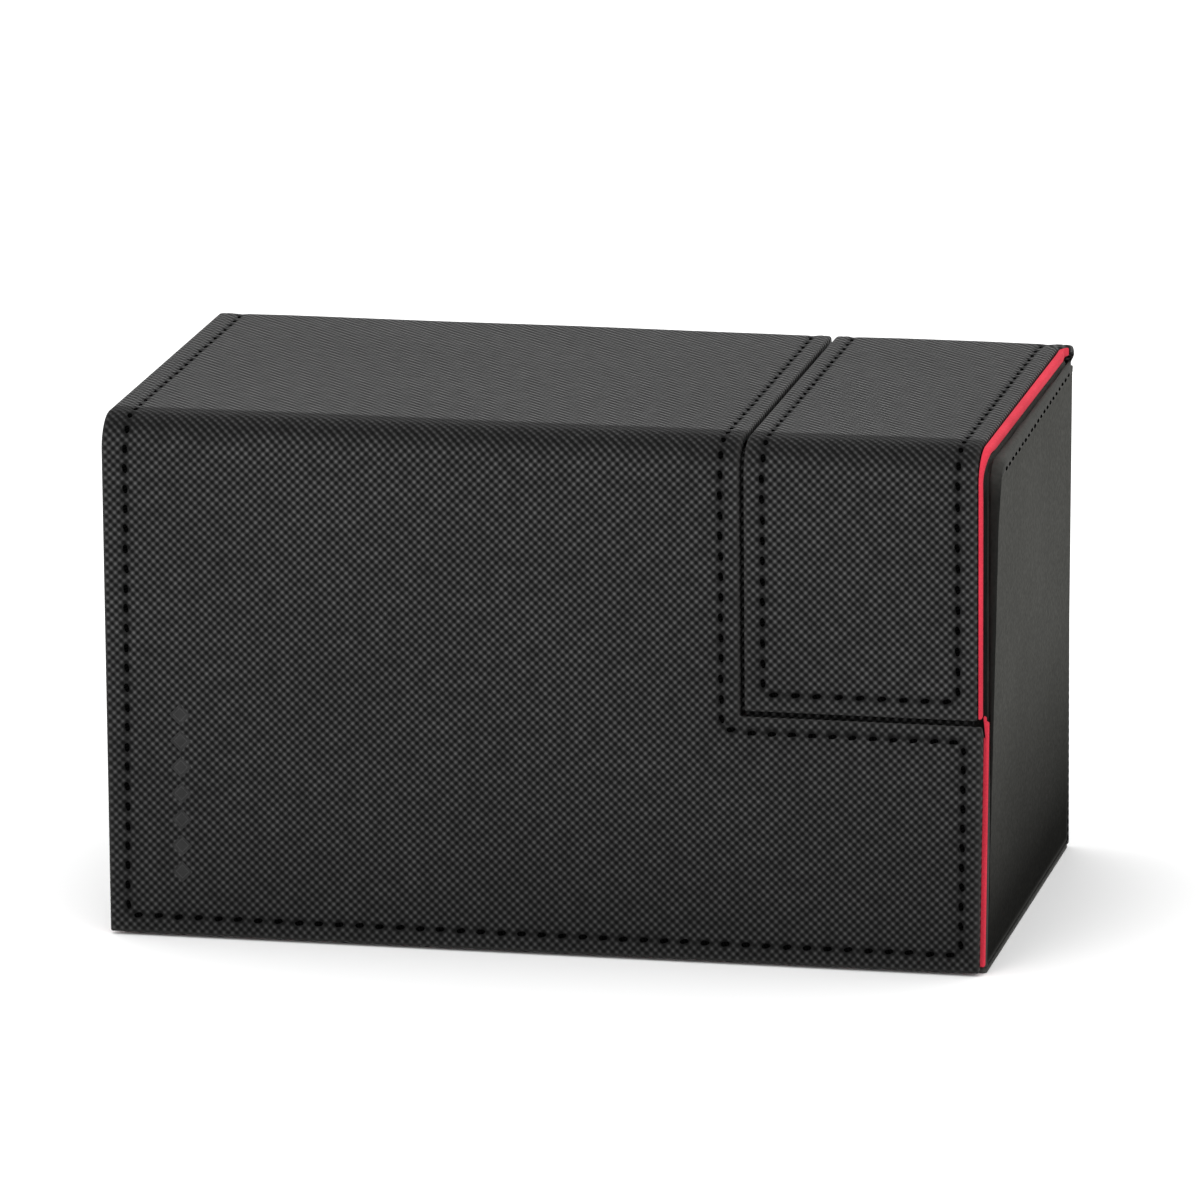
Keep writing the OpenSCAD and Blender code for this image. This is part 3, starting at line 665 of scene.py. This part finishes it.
class Lid:
    """One lid: the cuts of its skin and lining, its seams, and lean(u, v), how far the cut stands out to the
    right. Right of tab, the lining of the main lid's arm stands up past its edge."""

    def __init__(self, name, skin, lining, seams, lean, tab=None):
        self.name, self.skin, self.lining, self.seams = name, skin, lining, seams
        self.lean, self.tab, self.is_small = lean, tab, name == "small"

    def place(self, u, v, depth, outline, tab=False):
        u, v = outline.rounded(u, v)
        if outline.arm:
            on_arm = ramp(u, MAIN_X1 - 0.4, MAIN_X1 + 0.4) * ramp(v, V_ARM - 10, V_ARM) * (v < V_ARM + 0.001)
            drop = ARM_SKIVE * np.clip(depth, 0, LID) / LID
            if tab:
                drop = np.where(u > self.tab, -TAB_RISE, drop)
            v = v - on_arm * drop
        y, z, ny, nz = profile(v)
        return np.stack([u + self.lean(u, v), y - ny * depth, z - nz * depth], 1)

    def on_skin(self, u, v, depth):
        return self.place(u, v, depth, self.skin)

    def on_lining(self, u, v, depth):
        """Place on the lining. Its right edge spreads along the top and draws in at the hinge."""
        tuck = ramp(v, V_HINGE + TUCK_AT, V_HINGE + TUCK_AT + 2) * ramp(u, self.skin.u1 - 8, self.lining.u1)
        spread = LEG_SPREAD * ramp(v, V_SMALL + 2, V_FOLD) + TOP_SPREAD * ramp(v, V_FOLD, V_TOP)
        spread = spread * (1 - ramp(v, V_HINGE - 6, V_HINGE - 1.5)) * self.overhang(u)
        return self.place(u + spread - tuck * (LINING_OUT + TUCK_IN), v, depth, self.lining, tab=True)

    def overhang(self, u):
        """Share of the way from the small lid's skin's edge to its lining's."""
        return np.clip((u - self.skin.u1) / LINING_OUT, 0, 1) if self.is_small else 0 * u

    def beside(self, u):
        """1 beside the small lid's skin, where its lining rises along the skin's edge, and 0 under it."""
        return ramp(u, self.skin.u1 + 0.02, self.skin.u1 + 0.2) if self.is_small else 0 * u

    def outer(self, u, v):
        """Depth of the skin's outer face, with the pressed ornament on the main lid."""
        depth = skin_depth(self.skin, self.seams, u, v)
        if not self.is_small:
            along, reach = v - (ORNAMENT_Z - HEM), (ORNAMENT_COUNT - 1) / 2
            nearest = np.clip(np.round(along / ORNAMENT_PITCH), -reach, reach) * ORNAMENT_PITCH
            size = np.abs(u - ORNAMENT_X) / (ORNAMENT_W / 2) + np.abs(along - nearest) / (ORNAMENT_H / 2)
            depth = depth + ORNAMENT_DEEP * (1 - ramp(size, 0.8, 1.15))
        return depth

    def inner(self, u, v):
        """Depth of the skin's inner face: turned in at the edges, hollow where a board lies."""
        d = self.skin.distance(u, v)
        board = (v < V_FOLD - SLIT) | ((v > V_TOP + SLIT) & (v < V_HINGE - SLIT))
        return np.where(board & (d > SKIN + 0.05), SKIN - 0.02, SHELL)

    def pressed(self, u, v):
        return seam_press(u, v, self.seams)

    def lining_outer(self, u, v):
        return SHELL + 0.02 + rolled(self.lining.distance(u, v), 0.25) - 1.05 * self.beside(u)

    def lining_inner(self, u, v):
        """Depth of the lining's soft face, which is drawn thin round the fold."""
        d = self.lining.distance(u, v)
        soft = rolled(d, 0.35) + 0.05 * (1 + waves(u, v, 23.0)) * ramp(d, 0, 4)
        bend = ramp(v, V_FOLD - 4, V_FOLD) * (1 - ramp(v, V_TOP, V_TOP + 4))
        return LID - soft - 0.5 * self.beside(u) - 0.3 * bend

    def grid(self, cut, is_skin, start, end, right):
        """Grid lines across and along a layer, closer at its edges, bends, seams and ornament."""
        is_arm = right > cut.u1
        marks_u = [(cut.u0, RISE), (cut.u1, FALL), (self.skin.u1, (0, 0.1, 0.2, 0.3))]
        marks_v = [(cut.v0, RISE), (V_FOLD, (-SLIT, 0)), (V_TOP, (0, SLIT)), (V_HINGE, (-SLIT, 0)),
                   (V_BACK, (0,)), (V_FOLD, np.arange(0, V_TOP - V_FOLD, 0.6)),
                   (V_HINGE, np.arange(0, V_BACK - V_HINGE, 0.4))]
        if is_arm:
            marks_u += [(cut.u1, RISE), (right, FALL)]
            marks_v += [(cut.arm[1], FALL + (0.4,)), (V_ARM - 5, (0,))]
        if is_skin:
            marks_u += [(u, ACROSS) for seam in self.seams for u, _ in seam]
            marks_v += [(v, ACROSS) for seam in self.seams for _, v in seam]
        if is_arm and is_skin:
            reach = ORNAMENT_COUNT * ORNAMENT_PITCH / 2
            marks_u.append((ORNAMENT_X, np.linspace(-3, 3, 15)))
            marks_v.append((ORNAMENT_Z - HEM, np.linspace(-reach, reach, 85)))
        elif is_arm:
            marks_u.append((self.tab, (-0.04, 0.04)))
        step = 0.8 if is_skin else 2.0
        return lines(cut.u0, right, step, *marks_u), lines(start, end, step, *marks_v)

    def make_layer(self, half, layer, low, high, parts):
        """The skin or lining of one half, in place of the CAD's parts, stretched over that board."""
        is_skin, is_front = layer == "skin", half == "front"
        if is_skin:
            cut, place, outer, inner, finish = self.skin, self.on_skin, self.outer, self.inner, WOVEN
        else:
            cut, place, outer, inner = self.lining, self.on_lining, self.lining_outer, self.lining_inner
            finish = SUEDE
        has_arm = bool(cut.arm) and is_front
        if has_arm and is_skin:
            finish = WOVEN_FRONT
        start = cut.v0 if is_front else low
        end = high if is_front or is_skin else V_BACK + SLIT - 0.1
        right = cut.arm[0] if has_arm else cut.u1
        us, vs = self.grid(cut, is_skin, start, end, right)
        piece = closed_sheet(f"{self.name}_{half}_{layer}", us, vs, place, outer, inner, cut.distance, finish,
                             keep=cut.keep, pressed=self.pressed if is_skin else None)
        kind = "cover" if is_skin else "lining"
        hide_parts(*[f"{self.name}_{part}_{kind}" for part in parts])
        return piece

    def make_half(self, half, low, high, parts, board):
        """Skin, lining and stitches of one half."""
        made = [self.make_layer(half, layer, low, high, parts) for layer in ("skin", "lining")]
        length, thread = (2.3, 1.0) if half == "front" else (2.9, 0.75)

        def chosen(u, v):
            return (v < V_SPLIT) == (half == "front")

        stitches = stitch_mesh(f"{self.name}_{half}_stitches", self.seams, self.on_skin, self.outer, length,
                               slant=STITCH_SLANT, thread=thread, chosen=chosen)
        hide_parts(f"{self.name}_{board}_stitching")
        for piece in made + [stitches]:
            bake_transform(piece)

    def make(self):
        """The front half up to V_SPLIT, and the top half from there to the back."""
        self.make_half("front", self.skin.v0, V_SPLIT, ("fold", "flap"), "flap")
        self.make_half("top", V_SPLIT, V_END, ("lid", "hinge"), "lid")


def main_lean(u, v):
    """The arm's right edge leans out towards its top, and the corner at the back hinge is eased."""
    arm = ramp(u, MAIN_X1, ARM_X1) * (v <= V_ARM + 0.1) * (ARM_LEAN * v - ARM_IN)
    corner = -HINGE_EASE * ramp(v, V_HINGE - 1, V_BACK) * ramp(u, MAIN_X1 - 6, MAIN_X1)
    return arm + corner


def small_lean(u, v):
    """At the back hinge the corner is eased on the left, and spreads to the back panel's on the right."""
    eased = HINGE_EASE * ramp(v, V_HINGE - 1, V_BACK) * (1 - ramp(u, SMALL_X0, SMALL_X0 + 6))
    flare = HINGE_FLARE + HINGE_BULGE * (1 - ramp(v, V_BACK - 2, V_END))
    return eased + flare * ramp(v, V_HINGE - 3, V_HINGE + 1.5) * ramp(u, SMALL_X1 - 9, SMALL_X1)


# places of the seams: up the front (they lean a little on the left), along the arm, and across the feet
SEAM_LOW = SEAM_IN - 0.2
SEAM_STEP = V_ARM - 3.2
SEAM_SMALL = V_SMALL + SEAM_LOW
SEAM_L0, SEAM_L1 = MAIN_X0 + 3.6, MAIN_X0 + 4.8
SEAM_ARM = ARM_X1 - 3.6
SEAM_M, SEAM_S, SEAM_R = MAIN_X1 - 3.7, SMALL_X0 + 3.6, SMALL_X1 - 3.8

main = Lid(
    "main",
    Outline(MAIN_X0, MAIN_X1, 0, V_END, arm=(ARM_X1, V_ARM)),
    Outline(MAIN_X0 + LINING_IN, MAIN_X1 - LINING_HID, LINING_HID, V_END,
            arm=(ARM_X1 + LINING_OUT + 0.05, V_ARM)),
    [((SEAM_L0, SEAM_LOW), (SEAM_L1, V_TOP)), ((SEAM_L1, V_TOP), (SEAM_L1, V_END + 1)),
     ((SEAM_L0, SEAM_LOW), (SEAM_ARM, SEAM_LOW)), ((SEAM_ARM, SEAM_LOW), (SEAM_ARM, SEAM_STEP)),
     ((SEAM_M, SEAM_STEP), (SEAM_ARM, SEAM_STEP)), ((SEAM_M, SEAM_STEP), (SEAM_M, V_END + 1))],
    main_lean, tab=SMALL_X1 + LINING_OUT + 0.1,
)
small = Lid(
    "small",
    Outline(SMALL_X0, SMALL_X1, V_SMALL, V_END),
    Outline(SMALL_X0 + LINING_HID, SMALL_X1 + LINING_OUT, V_SMALL + LINING_IN, V_END),
    [((SEAM_S, SEAM_SMALL), (SEAM_R, SEAM_SMALL)), ((SEAM_S, SEAM_SMALL), (SEAM_S, V_END + 1)),
     ((SEAM_R, SEAM_SMALL), (SEAM_R, V_END + 1))],
    small_lean,
)
main.make()
small.make()

# ---- body ----

CORNER_POINTS = 13  # on each rounded corner of a track


class Track:
    """A path through flat corner points, each corner rounded by its radius. at(s) gives the place at s along
    the path, and the direction to the left of the way there."""

    def __init__(self, points, radii, closed=False):
        points = [np.array(p, float) for p in points]
        count = len(points)
        path = [] if closed else [points[0]]
        for k, radius in zip(range(0 if closed else 1, count if closed else count - 1), radii):
            p, before, after = points[k], points[k - 1], points[(k + 1) % count]
            a, b = (before - p) / np.linalg.norm(before - p), (after - p) / np.linalg.norm(after - p)
            start, end, centre = p + a * radius, p + b * radius, p + (a + b) * radius
            for angle in np.linspace(0, math.pi / 2, CORNER_POINTS):
                path.append(centre + (start - centre) * math.cos(angle) + (end - centre) * math.sin(angle))
        path.append(path[0] if closed else points[-1])
        path = np.array(path)
        steps = np.linalg.norm(np.diff(path, axis=0), axis=1)
        path = path[np.append(True, steps > 1e-9)]
        way = np.diff(path, axis=0)
        steps = np.linalg.norm(way, axis=1)
        self.marks = np.append(0, np.cumsum(steps))
        self.length = self.marks[-1]
        way /= steps[:, None]
        first, last = (way[-1:], way[:1]) if closed else (way[:1], way[-1:])
        way = np.concatenate([first, way]) + np.concatenate([way, last])
        way /= np.linalg.norm(way, axis=1)[:, None]
        self.path, self.left = path, np.stack([-way[:, 1], way[:, 0]], 1)

    def at(self, s):
        place = [np.interp(s, self.marks, self.path[:, k]) for k in (0, 1)]
        left = [np.interp(s, self.marks, self.left[:, k]) for k in (0, 1)]
        size = np.hypot(*left)
        return place[0], place[1], left[0] / size, left[1] / size

    def bends(self):
        """Marks for grid lines at every inner point of the path."""
        return [(mark, (0,)) for mark in self.marks[1:-1]]


def on_box(piece, node):
    """Put a piece in place of a CAD node, on the body that stands still."""
    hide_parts(node)
    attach(piece, "box")


# how far the side walls stand out at the floor, and how that grows with height. The right one flares towards
# the front, most of all near its top.
LEFT_OUT, LEFT_LEAN = -0.3, 0.003
RIGHT_OUT, RIGHT_LEAN, RIGHT_FLARE = -0.62, 0.009, 0.0155
LIP_FROM, LIP_OUT = 86, 0.35


def bow(side, y, z):
    """How far a side wall's outer face stands out of the straight."""
    if side < 0:
        return LEFT_OUT + LEFT_LEAN * z
    front = np.clip((BODY_BACK - y) / (BODY_BACK - BODY_FRONT), 0, 1)
    return RIGHT_OUT + z * (RIGHT_LEAN + RIGHT_FLARE * front) + LIP_OUT * front * ramp(z, LIP_FROM, RIM)


def wall_y(u, v, inset):
    """y on a side wall's face: u is y on the straight part, and the front edge follows the rounded corner."""
    lift = np.clip(v - FOLD_Z, 0, CORNER_R - inset)
    front = np.where(v > FOLD_Z, FOLD_Y - np.sqrt((CORNER_R - inset) ** 2 - lift**2), BODY_FRONT + inset)
    return front + (u - BODY_FRONT) * (BODY_BACK - front) / (BODY_BACK - BODY_FRONT)


def side_sheet(name, side, low, high, inset, sunk, thickness, finish, turned):
    """A layer of a side wall between two heights, sunk below the wall's face and inset from its front edge.
    thickness is a number or changes with (y, z), and turned is the radius of the edges."""
    outline = Outline(BODY_FRONT, BODY_BACK, low, high, open_top=False, corner=0.5)

    def place(u, v, depth):
        u, v = outline.rounded(side * u, v)
        y = wall_y(u, v, inset)
        return np.stack([side * (SIDE + bow(side, y, v) - sunk - depth), y, v], 1)

    def distance(u, v):
        return outline.distance(side * u, v)

    def outer(u, v):
        d = distance(u, v)
        return rolled(d, turned) - 0.08 * waves(side * u, v, 41.0) * ramp(d, 0, 8)

    def inner(u, v):
        return thickness(side * u, v) if callable(thickness) else thickness + 0 * u

    ends = sorted((side * BODY_FRONT, side * BODY_BACK))
    vs = edged(low, high, 2.0, (FOLD_Z, np.arange(-0.5, high - FOLD_Z, 0.5)))
    return closed_sheet(name, edged(*ends, 2.0), vs, place, outer, inner, distance, finish)


RIM_INNER, RIM_TOP_W, RIM_OUTER = 1.5, 5.2, 2.9  # the binding on the bay side, on the rim, on the outside
BINDING_W = RIM_INNER + RIM_TOP_W + RIM_OUTER
BINDING = 0.45  # its thickness
BINDING_RISE = (0, 0.08, 0.2, 0.4, 0.7)
LEAST_LEG = 0.45  # its reach down the outside where it runs down the front and the back
PLAY = 0.12  # between a side wall's layers
RIM_BACK = HINGE_Y - SLIT - 0.2
RIM_LOW = PANEL_TOP + 0.05
BOTTOM_LIP = 1.2  # how high the cloth under the base stands up round the foot
CAP_END = BODY_BACK - 0.1
rim_track = Track([(BODY_FRONT, BOTTOM_LIP), (BODY_FRONT, RIM), (RIM_BACK, RIM), (RIM_BACK, RIM_LOW),
                   (CAP_END, RIM_LOW), (CAP_END, RIM_LOW - 1.3)], [CORNER_R, 0.5, 0.4, 0.5])
BINDING_Z = wall_high[2] - 0.5
# the binding gives way under the edge of the small lid's lining
GROOVE_X = SMALL_X1 + LINING_OUT + LEG_SPREAD + TOP_SPREAD - 0.25
GROOVE_DEEP, GROOVE_W = 0.8, 0.32


def rim_place(side):
    """Place on the binding: u across it from the bay side to the outer side, v along the rim."""

    def place(u, v, depth):
        c = side * u
        y, z, ny, nz = rim_track.at(v)
        x_in = BOARD_IN - BAY_LINING - PLAY
        width = SIDE + bow(side, y, z) + PLAY - x_in
        leg = np.where(nz > 0.05, (z - BINDING_Z) / np.maximum(nz, 0.05), LEAST_LEG)
        leg = np.clip(leg, LEAST_LEG, RIM_OUTER)
        inner_leg = 0.5 + (RIM_INNER - 0.5) * ramp(nz, 0.3, 0.9)
        r_in, r_out, q = 0.45, np.minimum(0.75, leg * 0.9), 0.5
        a, b = RIM_INNER, RIM_INNER + RIM_TOP_W
        turn_in = np.clip((c - a + q) / (2 * q), 0, 1) * math.pi / 2
        turn_out = np.clip((c - b + q) / (2 * q), 0, 1) * math.pi / 2
        across = np.clip((c - a - q) / (b - a - 2 * q), 0, 1)
        rise = np.clip(c / (a - q), 0, 1)
        fall = np.clip((c - b - q) / (RIM_OUTER - q), 0, 1)
        x = x_in + r_in * (1 - np.cos(turn_in)) + across * (width - r_in - r_out) + r_out * np.sin(turn_out)
        down = (1 - rise) * (inner_leg - r_in) + r_in * (1 - np.sin(turn_in)) + r_out * (1 - np.cos(turn_out))
        down = down + fall * (leg - r_out) + GROOVE_DEEP * gauss(x - GROOVE_X, GROOVE_W)
        nx = np.where(c < (a + b) / 2, -np.cos(turn_in), np.sin(turn_out))
        n_up = np.where(c < (a + b) / 2, np.sin(turn_in), np.cos(turn_out))
        off = down + n_up * depth
        return np.stack([side * (x - nx * depth), y - ny * off, z - nz * off], 1)

    return place


def make_side(side):
    """One side wall: board, cover, and the binding over its rim with its stitches, which are returned."""
    name = "right" if side > 0 else "left"
    sunk = SKIN + PLAY

    def board_thickness(y, z):
        return SIDE + bow(side, y, z) - sunk - BOARD_IN

    board = side_sheet(f"{name}_board", side, BOTTOM_LIP + 0.1, RIM_LOW - 0.6, 0.5, sunk, board_thickness,
                       BOARD, turned=0.15)
    on_box(board, f"{name}_wall_board")
    cover = side_sheet(f"{name}_panel", side, BOTTOM_LIP + PLAY, BINDING_Z + 0.5, PLAY, 0.0, SKIN, PLAIN_WALL_PAINTED_SHADING,
                       turned=0.4)
    on_box(cover, f"{name}_wall_cover")
    place = rim_place(side)
    seam_u = side * (BINDING_W - 0.55)
    top_start = rim_track.marks[CORNER_POINTS] + 0.5
    top_end = top_start + RIM_BACK - FOLD_Y - 2
    seams = [((seam_u, top_start), (seam_u, top_end))]

    def distance(u, v):
        return np.minimum(np.minimum(side * u, BINDING_W - side * u), np.minimum(v, rim_track.length - v))

    def outer(u, v):
        d = np.maximum(distance(u, v), 0)
        channel = seam_channel(u, v, seams, deep=0.16, shallow=0.04, width=0.4)
        return rolled(d, 0.22) + channel - 0.05 * waves(u, v, 9.0) * ramp(d, 0, 1)

    us = edged(*sorted((0, side * BINDING_W)), 0.35, fine=BINDING_RISE)
    vs = edged(0, rim_track.length, 0.8, *rim_track.bends(), fine=BINDING_RISE)
    binding = closed_sheet(f"{name}_binding", us, vs, place, outer, BINDING, distance, PLAIN_BINDING_PAINTED_SHADE)
    on_box(binding, f"{name}_rim_binding")
    return stitch_mesh(f"{name}_rim_stitches", seams, place, outer, 2.2, thread=0.65, lift=0.08)


rim_stitches = [make_side(side) for side in (-1, 1)]
for piece in rim_stitches:
    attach(piece, "box")
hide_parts("rim_stitching")


def make_back():
    """The sewn panel on the back wall, which runs on from the lids' hinges."""
    low = V_BACK + HINGE_Z - panel_low[2]
    outline = Outline(MAIN_X0, -MAIN_X0, V_END, low, open_top=False, open_foot=True)
    edge = low - SEAM_IN
    left, right = SEAM_L1, -SEAM_L1
    seams = [((left, V_END - 1), (left, edge)), ((left, edge), (right, edge)),
             ((right, edge), (right, V_END - 1))]

    def place(u, v, depth):
        u, v = outline.rounded(u, v)
        y, z, ny, nz = profile(v)
        return np.stack([u, y - ny * depth, z - nz * depth], 1)

    def outer(u, v):
        return skin_depth(outline, seams, u, v)

    def inner(u, v):
        return np.where(outline.distance(u, v) > SKIN + 0.05, SKIN - 0.02, SHELL)

    def pressed(u, v):
        return seam_press(u, v, seams)

    def chosen(u, v):
        return v > V_END

    us = edged(MAIN_X0, -MAIN_X0, 0.8, (left, ACROSS), (right, ACROSS))
    vs = lines(V_END, low, 0.8, (low, FALL), (edge, ACROSS))
    panel = closed_sheet("back_panel_skin", us, vs, place, outer, inner, outline.distance, WOVEN,
                         keep=outline.keep, pressed=pressed)
    on_box(panel, "back_panel_cover")
    stitches = stitch_mesh("back_panel_stitches", seams, place, outer, 2.3, slant=STITCH_SLANT, chosen=chosen)
    on_box(stitches, "back_panel_stitching")


make_back()


def track_sheet(name, track, place, v_range, thickness, finish, node, step=1.5, turned=0.3, uneven=0.05,
                wrap=False):
    """A layer along a track: u along it, v across. The edges are turned and the face slightly uneven."""
    low, high = v_range

    def distance(u, v):
        d = np.minimum(v - low, high - v)
        return np.maximum(d if wrap else np.minimum(d, np.minimum(u, track.length - u)), 0)

    def outer(u, v):
        d = distance(u, v)
        return rolled(d, turned) - uneven * (1 + waves(u, v, 31.0)) * ramp(d, 0, 5)

    us = edged(0, track.length, step, *track.bends(), fine=() if wrap else SHORT_RISE)
    vs = edged(low, high, step, fine=SHORT_RISE)
    piece = closed_sheet(name, us, vs, place, outer, thickness, distance, finish, wrap=wrap)
    on_box(piece, node)
    return piece


def level_layer(name, outline, step, level, inner, turned, finish, node, uneven=0.0, up=1):
    """A level layer in the place of a CAD node, its outer face at that level: on top, or with up -1 below."""

    def place(u, v, depth):
        u, v = outline.rounded(u, v)
        return np.stack([u, up * v, level - up * depth], 1)

    def outer(u, v):
        d = outline.distance(u, v)
        return rolled(d, turned) - uneven * (1 + waves(u, v, 37.0)) * ramp(d, 0, 8)

    us, vs = edged(outline.u0, outline.u1, step), edged(outline.v0, outline.v1, step)
    piece = closed_sheet(name, us, vs, place, outer, inner, outline.distance, finish, keep=outline.keep)
    on_box(piece, node)
    return piece


def make_front_wall():
    """The skin of the front wall, which turns in over its top."""
    half, top = span("front_wall_cover")[1][0], RIM - 0.25
    inside = BODY_FRONT + SKIN + 2.0 + BAY_LINING - 0.05
    track = Track([(BODY_FRONT, BOTTOM_LIP), (BODY_FRONT, top), (inside, top), (inside, RIM - 1.7)],
                  [2.6, 0.5])
    outline = Outline(-half, half, 0, track.length, open_top=False, corner=0.3)

    def place(u, v, depth):
        y, z, ny, nz = track.at(v)
        return np.stack([u, y - ny * depth, z - nz * depth], 1)

    def outer(u, v):
        d = outline.distance(u, v)
        return rolled(d, 0.3) - 0.05 * waves(u, v, 47.0) * ramp(d, 0, 6)

    us = edged(-half, half, 2.5, fine=SHORT_RISE)
    vs = edged(0, track.length, 2.5, *track.bends(), fine=SHORT_RISE)
    piece = closed_sheet("front_wall_skin", us, vs, place, outer, SKIN - 0.02, outline.distance, WOVEN,
                         keep=outline.keep)
    on_box(piece, "front_wall_cover")


def make_bay(name, floor_node, walls_node):
    """The lining round a bay, and the lined floor in it."""
    low, high = span(walls_node)
    t, top = BAY_LINING, RIM - 1.2
    x0, x1, y0, y1 = low[0] + t, high[0] - t, low[1] + t, high[1] - t
    corner = 1.4
    track = Track([(x1, y0), (x1, y1), (x0, y1), (x0, y0)], [corner] * 4, closed=True)

    def place(u, v, depth):
        x, y, nx, ny = track.at(u)
        return np.stack([x - nx * depth, y - ny * depth, -v], 1)

    lining = track_sheet(name, track, place, (-top, -low[2]), t, SUEDE, walls_node, step=2.5, turned=0.35,
                         uneven=0.04, wrap=True)
    outline = Outline(x0, x1, y0, y1, open_top=False, corner=1.3)
    level = span(floor_node)[1][2]
    floor = level_layer(name.replace("walls", "floor_pad"), outline, 2.5, level, t, 0.35, SUEDE, floor_node,
                        uneven=0.05)


def make_partition_cap():
    """The cloth over the top of the wall between the bays."""
    low, high = span("partition_cap")
    x0, x1, foot = low[0] - 0.1, high[0] + 0.1, RIM - 2.6
    track = Track([(x0, foot), (x0, RIM), (x1, RIM), (x1, foot)], [1.3, 1.3])

    def place(u, v, depth):
        x, z, nx, nz = track.at(u)
        return np.stack([x - nx * depth, v, z - nz * depth], 1)

    track_sheet("partition_edge", track, place, (low[1], high[1]), 0.7, WOVEN, "partition_cap", step=0.8)


def make_bottom():
    """The board under the bays, and the cloth under it, turned up round the foot of the walls."""
    x1, lip = SIDE - 0.5, 0.46
    cloth = Outline(-x1, x1, -BODY_BACK, -BODY_FRONT, open_top=False, corner=0.9)

    def inner(u, v):
        return np.where(cloth.distance(u, v) > lip, SKIN - 0.02, BOTTOM_LIP)

    level_layer("bottom_skin", cloth, 3.0, 0, inner, 0.35, PLAIN, "bottom_cover", up=-1)
    low, high = span("base_board")
    board = Outline(-x1 + 0.5, x1 - 0.5, low[1], high[1], open_top=False, corner=0.6)
    level_layer("base_board_sheet", board, 6.0, high[2], high[2] - low[2], 0.1, BOARD, "base_board")


make_front_wall()
make_bay("card_bay_walls", "card_bay_floor", "card_bay_lining")
make_bay("dice_bay_walls", "dice_bay_floor", "dice_bay_lining")
make_partition_cap()
make_bottom()

# ---- CAD nodes that stay: boards and magnets ----

for name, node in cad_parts.items():
    if node.hide_render:
        continue
    material = NICKEL if "magnets" in name else BOARD.material
    for slot_index in range(max(1, len(node.material_slots))):
        if node.material_slots:
            node.material_slots[slot_index].material = material
        else:
            node.data.materials.append(material)

# ---- stage ----


def area_light(name, place, aim, size, power):
    """A round lamp of that size and power at place, turned to aim."""
    light = bpy.data.lights.new(name, "AREA")
    light.shape, light.size, light.energy = "DISK", size, power
    lamp = linked(name, light)
    lamp.location = place
    lamp.rotation_euler = (Vector(aim) - Vector(place)).to_track_quat("-Z", "Y").to_euler()


def make_floor():
    """A light grey floor, faintly mottled."""
    mesh = bpy.data.meshes.new("floor")
    half = 6.0
    corners = [(-half, -half, 0), (half, -half, 0), (half, half, 0), (-half, half, 0)]
    mesh.from_pydata(corners, [], [(0, 1, 2, 3)])
    s = Shader("floor", Specular_IOR_Level=0.0)
    mottle = s.noise(s.node("TexCoord", out=3), 3.0, 2.0)
    mesh.materials.append(s.done(Base_Color=s.ramp(mottle, (0.0, 0.9), (1.0, 0.94)), Roughness=0.95))
    linked("floor", mesh)


def make_camera():
    """The photograph's viewpoint: a long lens, slightly to the right and above."""
    azimuth, elevation, roll = math.radians(12.07), math.radians(13.90), math.radians(-0.48)
    distance, right_shift, up_shift, target = 2.073, 0.0014, 0.0071, Vector((-0.0003, 0, 0.051))
    back = Vector((math.sin(azimuth) * math.cos(elevation), -math.cos(azimuth) * math.cos(elevation),
                   math.sin(elevation)))
    right = (-back).cross(Vector((0, 0, 1))).normalized()
    up = right.cross(-back)
    right, up = right * math.cos(roll) + up * math.sin(roll), up * math.cos(roll) - right * math.sin(roll)
    data = bpy.data.cameras.new("camera")
    data.lens, data.sensor_width = 319.7, 36.0
    data.clip_start, data.clip_end = 0.1, 50
    camera = linked("camera", data)
    turn = Matrix((right, up, back)).transposed().to_4x4()
    place = target + back * distance + right * right_shift + up * up_shift
    camera.matrix_world = Matrix.Translation(place) @ turn
    bpy.context.scene.camera = camera


make_floor()
make_camera()
area_light("overhead", (-0.2, -0.1, 1.6), (0, 0, 0.05), 2.2, 6)
area_light("key", (-0.15, -0.5, 0.5), (0, 0, 0.08), 0.35, 0.7)
world = bpy.data.worlds.new("world")
world.use_nodes = True
world.node_tree.nodes["Background"].inputs[0].default_value = (1, 1, 1, 1)
world.node_tree.nodes["Background"].inputs[1].default_value = 1.3
bpy.context.scene.world = world
bpy.context.scene.view_settings.view_transform = "Standard"
